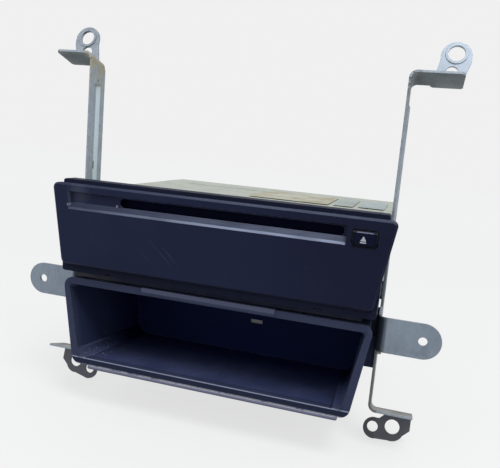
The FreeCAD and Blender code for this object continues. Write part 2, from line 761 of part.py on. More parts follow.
def bracket(side_name):
    """The right-hand strap, mirrored for the left one; outward is +X here."""
    def own(name):
        return float(getattr(D, "%s_%s" % (name, side_name)))

    sheet = float(D.plate_sheet)
    side_face = float(D.case_width) / 2
    inner = float(PLATE_INNER[side_name])
    outer = inner + sheet
    front = float(D.strip_front)
    width = float(D.strip_width)
    back = front + width
    slope = math.radians(float(D.flange_slope))
    bend = float(D.fold_radius)
    fall = width * math.tan(slope)
    shelf = own("shelf_level")
    foot = own("foot_level")

    def tip(shape, level):
        shape.rotate(VEC(0, 0, 0), VEC(1, 0, 0), -float(D.flange_slope))
        shape.translate(VEC(0, front, level))
        return shape

    def fold(start_x, y, z, end_x, corner):
        """A quarter bend about an X line between an upright ear and its flange."""
        return quarter_bend((start_x, y, z), (1, 0, 0), bend, sheet, end_x - start_x, corner)

    # long strip in the side plane, its two ends cut to the slope of the flanges
    cut_off = 2 * bend + 0.3
    strip = prism(((front, foot + cut_off), (back, foot + cut_off - fall), (back, shelf - cut_off - fall),
                   (front, shelf - cut_off)), "x", inner, outer)
    # wider middle part that carries the forward-facing tab
    tab_r = float(D.tab_radius)
    tab_x = side_face + float(D.tab_hole_out)
    curl_back = sheet + bend
    root = prism(((curl_back, -tab_r), (front + 1, -tab_r - 5), (front + 1, tab_r + 5), (curl_back, tab_r)),
                 "x", inner, outer)
    tab = bar(outer + bend, tab_x, 0, sheet, -tab_r, tab_r).fuse(lobe(tab_x, 0, tab_r, 0, sheet))
    curl = quarter_bend((outer + bend, curl_back, -tab_r), (0, 0, 1), bend, sheet, 2 * tab_r,
                        bar(inner - 1, outer + bend, -1, curl_back, -tab_r, tab_r))
    tab = tab.fuse(curl).cut(lobe(tab_x, 0, float(D.tab_hole_dia) / 2, -1, sheet + 1))
    solid = strip.fuse([root, tab])

    # upper shelf with its upright ear, built level and then tipped down to the back
    reach = own("shelf_reach")
    shelf_end = side_face + own("shelf_out")
    hole_x = side_face + own("ear_out")
    rise = own("ear_rise")
    ear_r = float(D.ear_radius)
    ear_base = hole_x - ear_r - float(D.ear_flare)
    top = bar(outer + bend, shelf_end, 0, reach - bend, 0, sheet)
    top = top.fuse(quarter_bend((outer + bend, 0, -bend), (0, 1, 0), bend, sheet, reach - bend,
                                bar(inner - 1, outer + bend, 0, reach - bend, -bend, sheet + 1)))
    top = top.cut(bar(inner - 1, ear_base - 1, width / math.cos(slope), 40, -10, 5))
    nip = float(D.corner_nip)
    top = top.cut(prism(((shelf_end + 1, -1), (shelf_end + 1, nip), (shelf_end, nip),
                         (shelf_end - 0.3 * nip, 0.3 * nip), (shelf_end - nip, 0), (shelf_end - nip, -1)),
                        "z", -sheet, 2 * sheet))
    ear_foot = bend + sheet
    crown = rise - own("ear_crown")
    ear_end = min(hole_x + ear_r - 1.6, shelf_end - 0.3 * nip)
    ear = prism(((ear_base, ear_foot), (ear_end, ear_foot), (hole_x + ear_r, crown - 3),
                 (hole_x + ear_r, crown), (hole_x - ear_r, crown), (hole_x - ear_r, crown - 3)),
                "y", reach, reach + sheet)
    ear = ear.fuse(lobe(hole_x, crown, ear_r, reach, reach + sheet))
    ear = ear.fuse(lobe(hole_x, rise, float(D.ear_ring), reach - 0.5, reach + 0.5).common(
        bar(hole_x - 20, hole_x + 20, reach - 1, reach + 1, rise - 20, crown + ear_r - 0.6)))
    ear = ear.fuse(fold(ear_base, reach - bend, ear_foot, ear_end,
                        bar(ear_base - 9, ear_end + 9, reach - bend, reach + sheet + 1, -1, ear_foot)))
    ear = ear.cut(lobe(hole_x, rise, float(D.ear_hole), reach - 2, reach + sheet + 2))
    ear = ear.cut(lobe(hole_x - 1.5, float(D.ear_slot_rise), float(D.ear_slot_hole),
                       reach - 2, reach + sheet + 2))
    leg = bar(inner, outer, -4, 30, -bend - cut_off, -bend)
    top = tip(top.fuse(ear), shelf)
    top = top.fuse(tip(leg, shelf).common(bar(inner, outer, front, back, shelf - 30, shelf + 10)))

    # lower flange with its hanging ear, tipped the same way
    foot_end = side_face + own("foot_out")
    big_x = side_face + own("foot_hole_out")
    small_x = big_x - float(D.foot_hole_step)
    big_z = -float(D.foot_hole_drop)
    small_z = -own("foot_small_drop")
    drop = float(D.foot_reach)
    ear_far = drop + sheet
    low = bar(outer + bend, foot_end, 0, drop - bend, -sheet, 0)
    low = low.fuse(quarter_bend((outer + bend, 0, bend), (0, 1, 0), bend, sheet, width / math.cos(slope),
                                bar(inner - 1, outer + bend, 0, width / math.cos(slope), -sheet - 1, bend)))
    hang_start = small_x + 5.6
    low = low.fuse(fold(hang_start, drop - bend, -bend - sheet, foot_end,
                        bar(hang_start - 9, foot_end + 9, drop - bend, ear_far + 1, -bend - sheet, 1)))
    hang = prism(((hang_start, -bend - sheet), (foot_end, -bend - sheet), (foot_end, -10.5),
                  (big_x + 3.3, -16.6), (big_x - 0.8, -18.0), (small_x + 2.0, small_z - 6.6),
                  (small_x - 1.0, small_z + 5.1), (small_x + 3.4, small_z + 5.4)), "y", drop, ear_far)
    hang = hang.fuse([lobe(small_x + 0.7, small_z - 0.7, 6.1, drop, ear_far),
                      lobe(big_x - 0.4, big_z - 1.0, 7.2, drop, ear_far).common(
                          bar(small_x, foot_end, drop, ear_far, -30, -bend - sheet))])
    hang = hang.cut(lobe(big_x, big_z, float(D.foot_hole), drop - 1, ear_far + 1))
    hang = hang.cut(lobe(small_x, small_z, float(D.foot_small_hole), drop - 1, ear_far + 1))
    leg = bar(inner, outer, -6, 30, bend, bend + cut_off)
    low = tip(low.fuse(hang), foot)
    low = low.fuse(tip(leg, foot).common(bar(inner, outer, front, back, foot - 30, foot + 20)))
    solid = solid.fuse([top, low])

    # shallow stiffening bead pressed outwards along the upper strip, its ends sloping back to the sheet
    middle = (front + back) / 2
    bead_foot = float(D.bead_foot)
    bead_head = float(D.bead_head)
    bead_half = float(D.bead_half_width)
    bead_depth = float(D.bead_depth)
    bead_r = (bead_half ** 2 + bead_depth ** 2) / (2 * bead_depth)
    bead_line = (inner + bead_depth - bead_r, middle, bead_foot)
    run = 2 * bead_depth
    wall = rod(bead_line, (0, 0, 1), bead_r + sheet, bead_head - bead_foot)
    hollow = rod(bead_line, (0, 0, 1), bead_r, bead_head - bead_foot)
    crest = outer + bead_depth
    solid = solid.fuse(wall.common(prism(((inner, bead_foot), (outer, bead_foot), (crest, bead_foot + run),
                                          (crest, bead_head - run), (outer, bead_head), (inner, bead_head)),
                                         "y", front, back)))
    solid = solid.cut(hollow.common(prism(((inner - 1, bead_foot), (inner, bead_foot),
                                           (crest - sheet, bead_foot + run), (crest - sheet, bead_head - run),
                                           (inner, bead_head), (inner - 1, bead_head)), "y", front, back)))
    # a locating hole above the bead and a short slot low in it
    solid = solid.cut(rod((inner - 1, middle, bead_head + float(D.mark_hole_rise)), (1, 0, 0),
                          float(D.mark_hole), sheet + 2))
    slot_low = bead_foot + float(D.mark_slot_rise)
    slot_half = float(D.mark_hole) / 2
    solid = solid.cut(bar(inner - 1, crest + 1, middle - slot_half, middle + slot_half,
                          slot_low, slot_low + float(D.mark_slot)))
    # round pads pressed inwards to meet the case side, each with a screw hole
    screw_y = float(D.screw_y)
    pad_r = float(D.pad_radius)
    hole_r = float(D.screw_radius) + 2 * float(D.screw_hole_room)
    for level in (float(D.screw_low), float(D.screw_high)):
        cup = rod((side_face, screw_y, level), (1, 0, 0), pad_r, outer - side_face)
        dish = rod((side_face + sheet, screw_y, level), (1, 0, 0), pad_r - sheet, outer - side_face)
        solid = solid.fuse(cup).cut(dish).cut(rod((side_face - 1, screw_y, level), (1, 0, 0), hole_r, 12))
    solid = solid.cut(rod((inner - 1, screw_y, float(D.pocket_screw_z)), (1, 0, 0), hole_r, sheet + 2))
    solid = solid.removeSplitter()
    if side_name == "left":
        solid = solid.mirror(VEC(0, 0, 0), VEC(1, 0, 0))
    return solid


def solid_piece(label, shape, place=(0, 0, 0)):
    """A piece made by Part's functions about its own origin, then set in its place."""
    item = DOC.addObject("Part::Feature", "piece")
    item.Shape = shape
    item.Placement = FreeCAD.Placement()
    for name, value in zip("xyz", place):
        bind(item, "Placement.Base." + name, value)
    return keep(item, label)


for side_name, side in SIDES:
    solid_piece("bracket_" + side_name, bracket(side_name))


# ---------------------------------------------------------------- screws
def hex_screw(label, side, seat, level):
    """A hexagon-head screw along X whose head rests on the seat, driven inwards."""
    radius = float(D.screw_head_radius)
    length = float(D.screw_length)
    corners = [(radius * math.cos(i * math.pi / 3), radius * math.sin(i * math.pi / 3)) for i in range(6)]
    head = prism(corners, "x", 0, float(D.screw_head))
    shape = head.fuse(rod((-length, 0, 0), (1, 0, 0), float(D.screw_radius), length))
    if side < 0:
        shape = shape.mirror(VEC(0, 0, 0), VEC(1, 0, 0))
    return solid_piece(label, shape, (side * seat, D.screw_y, level))


for side_name, side in SIDES:
    land_face = case_half + D.plate_sheet
    plate_face = PLATE_INNER[side_name] + D.plate_sheet
    hex_screw("case_screw_%s_low" % side_name, side, land_face, D.screw_low)
    hex_screw("case_screw_%s_high" % side_name, side, land_face, D.screw_high)
    hex_screw("pocket_screw_%s" % side_name, side, plate_face, D.pocket_screw_z)

# ---------------------------------------------------------------- playback deck
deck_left = D.deck_x - D.deck_half_width + 0.4
deck_right = D.deck_x + D.deck_half_width - 0.4
deck_top = D.deck_level + D.deck_sheet
deck = new_body("playback_deck")
plate = rectangle(deck, "XY_Plane", D.deck_level, (deck_left, deck_right), (D.deck_front, D.deck_back))
pad(deck, plate, D.deck_sheet)
round_edges(deck, along("z"), 3.0, "Chamfer")
hub_hole = ring(deck, "XY_Plane", deck_top + 1, (D.deck_x, D.disc_y), 3.0)
pocket(deck, hub_hole, D.deck_sheet + 2)
lens_window = rectangle(deck, "XY_Plane", deck_top + 1, (D.deck_x - 8, D.deck_x + 8),
                        (D.disc_y + 13, D.deck_back - 2.4))
pocket(deck, lens_window, D.deck_sheet + 2)
rod_ends = (D.disc_y + 10, D.deck_back - 1)
for x in (D.deck_x - D.rod_spread, D.deck_x + D.rod_spread, D.deck_x + D.rod_spread + 7):
    for y in (rod_ends[0], rod_ends[1] - 2):
        lug = rectangle(deck, "XY_Plane", D.deck_level + 0.2, (x - 2.6, x + 2.6), (y, y + 2))
        pad(deck, lug, D.deck_level - D.rod_level + 2.6, back=True)
    saddle = rectangle(deck, "XZ_Plane", -(rod_ends[0] - 1),
                       (x - D.rod_radius - D.pivot_clearance, x + D.rod_radius + D.pivot_clearance),
                       (D.rod_level - 4, D.rod_level + D.rod_radius + D.pivot_clearance))
    pocket(deck, saddle, rod_ends[1] - rod_ends[0] + 2, back=False)
stiff = rectangle(deck, "XY_Plane", deck_top, (deck_left + 6, deck_left + 9),
                  (D.deck_front + 8, D.deck_back - 8))
pad(deck, stiff, 1.2)

for name, x in (("left", deck_left + 11), ("right", deck_right - 11)):
    for place, y in (("front", D.deck_front + 25), ("rear", D.deck_back - 28)):
        keep(cylinder("z", 5.0, (floor_level, D.deck_level), (x, y)), "deck_damper_%s_%s" % (name, place))

for name, x in (("left", D.deck_x - D.rod_spread), ("right", D.deck_x + D.rod_spread)):
    keep(cylinder("y", D.rod_radius, rod_ends, (x, D.rod_level)), "sled_rod_" + name)

can = cylinder("z", D.motor_radius, (floor_level + 1.2, D.deck_level), (D.deck_x, D.disc_y))
sleeve = cylinder("z", 1.5, (floor_level + 0.6, D.deck_level + 0.5), (D.deck_x, D.disc_y))
sleeve_bore = cylinder("z", 1.0 + D.pivot_clearance, (floor_level + 3, D.deck_level + 1),
                       (D.deck_x, D.disc_y))
keep(cut(fuse(can, sleeve), sleeve_bore), "spindle_motor")
spin_level = deck_top + 0.5
keep(fuse(cylinder("z", 14.0, (spin_level, spin_level + 1.8), (D.deck_x, D.disc_y)),
          cylinder("z", 7.2, (spin_level + 1.8, spin_level + 5.0), (D.deck_x, D.disc_y)),
          cylinder("z", 1.0, (floor_level + 3.3, spin_level), (D.deck_x, D.disc_y))), "turntable")

sled_front = D.disc_y + 12.5
sled_block = fuse(box((D.deck_x - D.rod_spread - 3.2, D.deck_x + D.rod_spread + 3.2),
                      (sled_front, sled_front + D.sled_depth), (D.rod_level - 3.4, D.rod_level + 3.4)),
                  cylinder("z", 4.6, (D.rod_level + 3, deck_top), (D.deck_x, sled_front + 9)),
                  cylinder("z", 2.2, (deck_top, deck_top + 1.4), (D.deck_x, sled_front + 9)))
screw_x = D.deck_x + D.rod_spread + 7
nut = box((D.deck_x + D.rod_spread + 3, screw_x + 2.6), (sled_front + 4, sled_front + 10),
          (D.rod_level - 2.8, D.rod_level + 2.8))
bores = [cylinder("y", D.rod_radius + D.pivot_clearance, (sled_front - 1, sled_front + D.sled_depth + 1),
                  (x, D.rod_level)) for x in (D.deck_x - D.rod_spread, D.deck_x + D.rod_spread)]
nut_bore = cylinder("y", D.rod_radius + D.run_gap, (sled_front + 3, sled_front + 11), (screw_x, D.rod_level))
keep(cut(fuse(sled_block, nut), *bores, nut_bore), "pickup_sled")

sled_motor_end = rod_ends[0] - 1.5
keep(cylinder("y", D.rod_radius, (sled_motor_end - 4, rod_ends[1]), (screw_x, D.rod_level)), "sled_screw")
sled_can = cylinder("y", D.deck_level - D.rod_level, (sled_motor_end - 18, sled_motor_end),
                    (screw_x, D.rod_level))
sled_can_bore = cylinder("y", D.rod_radius + D.pivot_clearance, (sled_motor_end - 4.4, sled_motor_end + 1),
                         (screw_x, D.rod_level))
keep(cut(sled_can, sled_can_bore), "sled_motor")


# ---------------------------------------------------------------- loading roller and its gear train
def gear(teeth, module, width, bore, phase=0.0, upright=False):
    """A spur gear about +X, or about +Z when upright, with straight-flanked teeth and one face at 0."""
    pitch = teeth * module / 2
    tip = pitch + 0.82 * module
    foot = pitch - 1.25 * module
    half_step = math.pi / teeth
    points = []
    for i in range(teeth):
        mid = 2 * half_step * i + phase
        for radius, share in ((foot, -0.78), (tip, -0.26), (tip, 0.26), (foot, 0.78)):
            turn = mid + share * half_step
            side_part, up_part = radius * math.sin(turn), radius * math.cos(turn)
            points.append(VEC(-up_part, side_part, 0) if upright else VEC(0, side_part, up_part))
    shape = Part.Face(Part.makePolygon(points + [points[0]])).extrude(VEC(0, 0, width) if upright
                                                                     else VEC(width, 0, 0))
    if bore > 0:
        shape = shape.cut(rod((-1, 0, 0), (1, 0, 0), bore, width + 2))
    return shape


MODULE = float(D.gear_module)
GEARS = {"roller": 28, "idler": 24, "pinion": 16}
bridge_left = D.slot_left - 19
bridge_right = D.slot_right + 7
roller_ends = (D.slot_left + 1, D.slot_right - 1)
pitch_gap = 0.12
idler_z = D.roller_z - MODULE * (GEARS["roller"] + GEARS["idler"]) / 2 - pitch_gap
pinion_z = idler_z - MODULE * (GEARS["idler"] + GEARS["pinion"]) / 2 - pitch_gap

bridge_span = box((bridge_left, bridge_right), (D.roller_y - 6, D.roller_y + 3.5),
                  (D.roller_z - 12.5, D.roller_z - 11.3))
ears = []
for x in (bridge_left, bridge_right - 1.2):
    ears.append(box((x, x + 1.2), (D.roller_y - 6, D.roller_y + 5), (floor_level, D.roller_z + 4)))
    foot_side = (x, x + 9) if x is bridge_left else (x - 7.8, x + 1.2)
    ears.append(box(foot_side, (D.roller_y - 6, D.roller_y + 5), (floor_level, floor_level + 1.2)))
bores = [cylinder("x", D.shaft_radius + D.pivot_clearance, (bridge_left - 1, bridge_right + 1),
                  (D.roller_y, D.roller_z)),
         cylinder("x", 1.3, (bridge_left - 1, bridge_left + 2), (D.roller_y, pinion_z))]
stub = cylinder("x", 1.2, (bridge_left - 5.6, bridge_left + 0.6), (D.roller_y, idler_z))
keep(fuse(cut(fuse(bridge_span, *ears), *bores), stub), "roller_bridge")

shaft = cylinder("x", D.shaft_radius, (bridge_left - 5.2, bridge_right + 1.5), (D.roller_y, D.roller_z))
keep(shaft, "roller_shaft")
middle_x = (roller_ends[0] + roller_ends[1]) / 2
for name, ends in (("left", (roller_ends[0], middle_x - 1.5)), ("right", (middle_x + 1.5, roller_ends[1]))):
    tube = cylinder("x", D.roller_radius, ends, (D.roller_y, D.roller_z))
    core = cylinder("x", D.shaft_radius, (ends[0] - 1, ends[1] + 1), (D.roller_y, D.roller_z))
    keep(cut(tube, core), "roller_rubber_" + name)

gear_x = bridge_left - 4.6
train = (("roller_gear", GEARS["roller"], D.roller_z, float(D.shaft_radius), 0.0),
         ("idler_gear", GEARS["idler"], idler_z, 1.2 + float(D.pivot_clearance), math.pi / GEARS["idler"]),
         ("motor_pinion", GEARS["pinion"], pinion_z, 0.0, 0.0))
for label, teeth, level, bore, phase in train:
    shape = gear(teeth, MODULE, 3.6, bore, phase)
    if label == "motor_pinion":
        shape = shape.fuse(rod((0, 0, 0), (1, 0, 0), 1.0, 9.5))
    solid_piece(label, shape, (gear_x, D.roller_y, level))
motor_x = bridge_left + 1.2
load_can = cylinder("x", 8.0, (motor_x, motor_x + 22), (D.roller_y, pinion_z))
load_bore = cylinder("x", 1.0 + D.pivot_clearance, (motor_x - 1, motor_x + 4.5), (D.roller_y, pinion_z))
keep(cut(load_can, load_bore), "loading_motor")

# ---------------------------------------------------------------- tray stack on its lift
tray_front = D.disc_y - D.disc_radius - 2
tray_back = D.disc_y + D.disc_radius + 2
frame_level = D.tray_level - D.lift_base - D.run_gap
pin_level = frame_level + D.lift_base / 2
lift = new_body("lift_frame")
base_plan = rectangle(lift, "XY_Plane", frame_level, (D.deck_x - D.guide_x + 3.4, D.deck_x + D.guide_x - 3.4),
                      (tray_front, tray_back))
pad(lift, base_plan, D.lift_base)
round_edges(lift, along("z"), 4.0, "Chamfer")
base_open = rectangle(lift, "XY_Plane", frame_level + 4, (D.deck_x - D.tray_half_width + 6,
                                                          D.deck_x + D.tray_half_width - 6),
                      (tray_front + 6, tray_back - 6))
pocket(lift, base_open, 6.0)
PIN_PLACES = (D.disc_y - 34, D.disc_y + 36)
for name, side in SIDES:
    for y in PIN_PLACES:
        start = D.deck_x + side * (D.guide_x - 4)
        peg = ring(lift, "YZ_Plane", start, (y, pin_level), D.pin_radius)
        pad(lift, peg, 8.4, back=side < 0)

tray_bottom = frame_level + D.lift_base
count = int(float(D.tray_count))
for number in range(count):
    tray = new_body("disc_tray_%d" % (number + 1))
    level = tray_bottom + D.run_gap + number * D.tray_pitch
    tray_top = level + D.tray_sheet
    plan = rectangle(tray, "XY_Plane", level, (D.deck_x - D.tray_half_width, D.deck_x + D.tray_half_width),
                     (tray_front, tray_back))
    pad(tray, plan, D.tray_sheet)
    round_edges(tray, along("z"), 5.0, "Chamfer")
    bed = ring(tray, "XY_Plane", tray_top + 1, (D.deck_x, D.disc_y), D.disc_radius + 0.6)
    pocket(tray, bed, 1.4)
    throat = outline(tray, "XY_Plane", tray_top + 1, (
        (D.deck_x - 14, tray_back + 1), (D.deck_x - 14, D.disc_y + 14), (D.deck_x - 22, D.disc_y + 8),
        (D.deck_x - 22, D.disc_y - 8), (D.deck_x - 10, D.disc_y - 20), (D.deck_x + 10, D.disc_y - 20),
        (D.deck_x + 22, D.disc_y - 8), (D.deck_x + 22, D.disc_y + 8), (D.deck_x + 14, D.disc_y + 14),
        (D.deck_x + 14, tray_back + 1)))
    pocket(tray, throat, D.tray_sheet + 2)
    low_post = D.run_gap if number == 0 else size(0)
    high_post = D.tray_pitch if number < count - 1 else D.tray_sheet + 0.6
    for x in (D.deck_x - D.tray_half_width + 5, D.deck_x + D.tray_half_width - 5):
        for y in (tray_front + 5, tray_back - 5):
            foot = rectangle(tray, "XY_Plane", level - low_post, (x - 2.4, x + 2.4), (y - 2.4, y + 2.4))
            pad(tray, foot, low_post + high_post)

for name, side in SIDES:
    x = D.deck_x + side * D.guide_x
    pair = (x, x + side * 1.2)
    limits = (min(pair, key=float), max(pair, key=float))
    wall = box(limits, (PIN_PLACES[0] - 10, PIN_PLACES[1] + 10),
               (floor_level, pin_level + D.lift_travel + 6.5))
    inward = (x, x - side * 6)
    tab_limits = (min(inward, key=float), max(inward, key=float))
    tabs = [box(tab_limits, (y - 4, y + 4), (floor_level, floor_level + 1.2)) for y in PIN_PLACES]
    grooves = []
    for y in PIN_PLACES:
        clear = D.pin_radius + 0.08
        grooves.append(box((limits[0] - 1, limits[1] + 1), (y - clear, y + clear),
                           (pin_level, pin_level + D.lift_travel)))
        for z in (pin_level, pin_level + D.lift_travel):
            grooves.append(cylinder("x", clear, (limits[0] - 1, limits[1] + 1), (y, z)))
    keep(fuse(cut(wall, *grooves), *tabs), "guide_wall_" + name)


def cam_slide():
    """Two side plates with rising slots, joined in front by a flat bar, with a toothed edge."""
    centre = float(D.deck_x)
    level = float(pin_level)
    travel = float(D.cam_travel)
    rise = float(D.lift_travel)
    floor = float(floor_level) + 0.3
    near = float(D.guide_x) + 1.2 + 0.5
    shape = bar(centre - near - 1.2, centre + near + 1.2, 12.0, 16.0, floor, floor + 1.0)
    for side_name, side in SIDES:
        edges = sorted((centre + side * near, centre + side * (near + 1.2)))
        front = float(PIN_PLACES[0]) - travel - 6
        back = float(PIN_PLACES[1]) + 5
        shape = shape.fuse(bar(edges[0], edges[1], 12.0, back, floor, floor + 8.0))
        shape = shape.fuse(bar(edges[0], edges[1], front, back, floor + 7, level + rise + 5))
        for y in PIN_PLACES:
            y = float(y)
            clear = float(D.pin_radius) + 0.35
            lean = math.atan2(rise, travel)
            over = 0.8
            start = (y + over * math.cos(lean), level - over * math.sin(lean))
            end = (y - (travel + over * math.cos(lean)), level + rise + over * math.sin(lean))
            across = (clear * math.sin(lean), clear * math.cos(lean))
            quad = [(point[0] + way * across[0], point[1] + way * across[1])
                    for point, way in ((start, 1), (end, 1), (end, -1), (start, -1))]
            shape = shape.cut(prism(quad, "x", edges[0] - 1, edges[1] + 1))
            for place in (start, end):
                shape = shape.cut(rod((edges[0] - 1, *place), (1, 0, 0), clear, 4))
    rack_y = float(D.disc_y) - 4.0
    rack_x = centre - near - 1.2
    shape = shape.fuse(bar(rack_x - 4.0, rack_x + 0.6, rack_y, rack_y + 30.0, floor, floor + 2.0))
    pitch = math.pi * MODULE
    tooth_count = int(30.0 / pitch)
    teeth = []
    for i in range(tooth_count):
        mid = rack_y + 15.0 + (i - (tooth_count - 1) / 2) * pitch
        teeth.append(prism(((rack_x - 3.9, mid - 0.36 * pitch), (rack_x - 4.9, mid - 0.13 * pitch),
                            (rack_x - 4.9, mid + 0.13 * pitch), (rack_x - 3.9, mid + 0.36 * pitch)), "z",
                           floor, floor + 2.0))
    return shape.fuse(teeth).removeSplitter()


solid_piece("cam_slide", cam_slide())

lift_y = D.disc_y - 4.0 + 15.0 + 5 * math.pi * MODULE
lift_x = D.deck_x - D.guide_x - 1.7 - 1.2 - 4.4 - 24 * MODULE / 2 - pitch_gap
mount_low = floor_level + 3.0
wheel = gear(24, MODULE, 2.0, 0.0, math.pi / 24, upright=True)
wheel = wheel.fuse(rod((0, 0, 0), (0, 0, 1), 1.0, 8.5))
solid_piece("lift_gear", wheel, (lift_x, lift_y, floor_level + 0.4))
mount_x = (lift_x - 9.0, lift_x + 5.0)
keep(cut(fuse(box(mount_x, (lift_y - 14, lift_y + 14), (mount_low, mount_low + 1.2)),
              box(mount_x, (lift_y - 14, lift_y - 12.8), (floor_level, mount_low)),
              box(mount_x, (lift_y + 12.8, lift_y + 14), (floor_level, mount_low))),
         cylinder("z", 1.4, (mount_low - 1, mount_low + 2), (lift_x, lift_y))), "lift_motor_mount")
lift_can = cylinder("z", 8.0, (mount_low + 1.2, mount_low + 22), (lift_x, lift_y))
lift_can_bore = cylinder("z", 1.0 + D.pivot_clearance, (mount_low, mount_low + 6.5), (lift_x, lift_y))
keep(cut(lift_can, lift_can_bore), "lift_motor")

# ---------------------------------------------------------------- checks and files
DOC.recompute()
for item in DOC.Objects:
    if "Invalid" in item.State or "Error" in item.State:
        raise RuntimeError("failed feature: %s %s %s" % (item.Name, item.Label, item.State))
for piece in PIECES:
    if piece.Shape.isNull() or not piece.Shape.isValid() or len(piece.Shape.Solids) != 1:
        raise RuntimeError("bad shape: %s, %d solids" % (piece.Label, len(piece.Shape.Solids)))
os.makedirs("parts", exist_ok=True)
for piece in PIECES:
    piece.Shape.exportStep("parts/%s.step" % piece.Label)
print(len(PIECES), "pieces written")
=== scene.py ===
"""Scene of the in-dash disc changer: finishes, small surface pieces, floor, lamps and camera.

The part's frame has X to the right, Y to the back and Z up.  Places and sizes are in millimetres
where they are named and become metres where they are used, except those of the floor and lamps.
"""
import json
import math

import bmesh
import bpy
from mathutils import Euler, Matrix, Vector


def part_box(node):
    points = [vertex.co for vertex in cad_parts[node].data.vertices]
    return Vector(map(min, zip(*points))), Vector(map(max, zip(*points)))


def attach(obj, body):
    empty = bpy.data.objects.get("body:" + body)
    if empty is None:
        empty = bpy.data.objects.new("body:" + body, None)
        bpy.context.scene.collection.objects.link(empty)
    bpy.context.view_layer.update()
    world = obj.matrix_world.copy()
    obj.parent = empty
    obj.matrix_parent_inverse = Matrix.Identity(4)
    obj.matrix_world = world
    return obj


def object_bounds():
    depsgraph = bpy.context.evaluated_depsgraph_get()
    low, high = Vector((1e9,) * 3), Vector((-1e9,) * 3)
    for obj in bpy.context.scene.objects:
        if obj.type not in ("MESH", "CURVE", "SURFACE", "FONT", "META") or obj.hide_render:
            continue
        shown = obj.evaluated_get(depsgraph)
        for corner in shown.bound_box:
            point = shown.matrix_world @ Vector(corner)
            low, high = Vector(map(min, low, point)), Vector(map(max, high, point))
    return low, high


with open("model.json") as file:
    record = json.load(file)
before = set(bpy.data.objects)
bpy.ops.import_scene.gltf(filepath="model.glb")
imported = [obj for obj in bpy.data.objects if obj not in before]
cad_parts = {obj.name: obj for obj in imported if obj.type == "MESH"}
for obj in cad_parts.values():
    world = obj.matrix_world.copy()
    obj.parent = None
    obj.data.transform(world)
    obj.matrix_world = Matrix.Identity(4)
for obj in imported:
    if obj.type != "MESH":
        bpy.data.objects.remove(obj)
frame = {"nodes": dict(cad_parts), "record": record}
CAD_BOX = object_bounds()
MM = 0.001
RIGHT, BACK, UP = Vector((1, 0, 0)), Vector((0, 1, 0)), Vector((0, 0, 1))


def rgb(red, green, blue):
    """A display colour, 0 to 255 a channel, as the linear colour that the shaders take."""
    def channel(value):
        value /= 255
        return value / 12.92 if value <= 0.04045 else ((value + 0.055) / 1.055) ** 2.4
    return (channel(red), channel(green), channel(blue), 1.0)


def lighter(colour, times):
    """A colour with its channels multiplied, up to white."""
    return [min(1.0, times * channel) for channel in colour[:3]] + [1.0]


def box_mm(node):
    """The lowest and the highest corner of a CAD node's box, in millimetres."""
    low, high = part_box(node)
    return low / MM, high / MM


PANEL_LOW, PANEL_HIGH = box_mm("slot_panel")
BUTTON_LOW, BUTTON_HIGH = box_mm("eject_button")
POCKET_LOW, POCKET_HIGH = box_mm("storage_pocket")
FRAME_FRONT = box_mm("panel_frame")[0].y
CASE_FOOT = box_mm("deck_case")[0].z
LID_TOP = box_mm("case_lid")[1].z


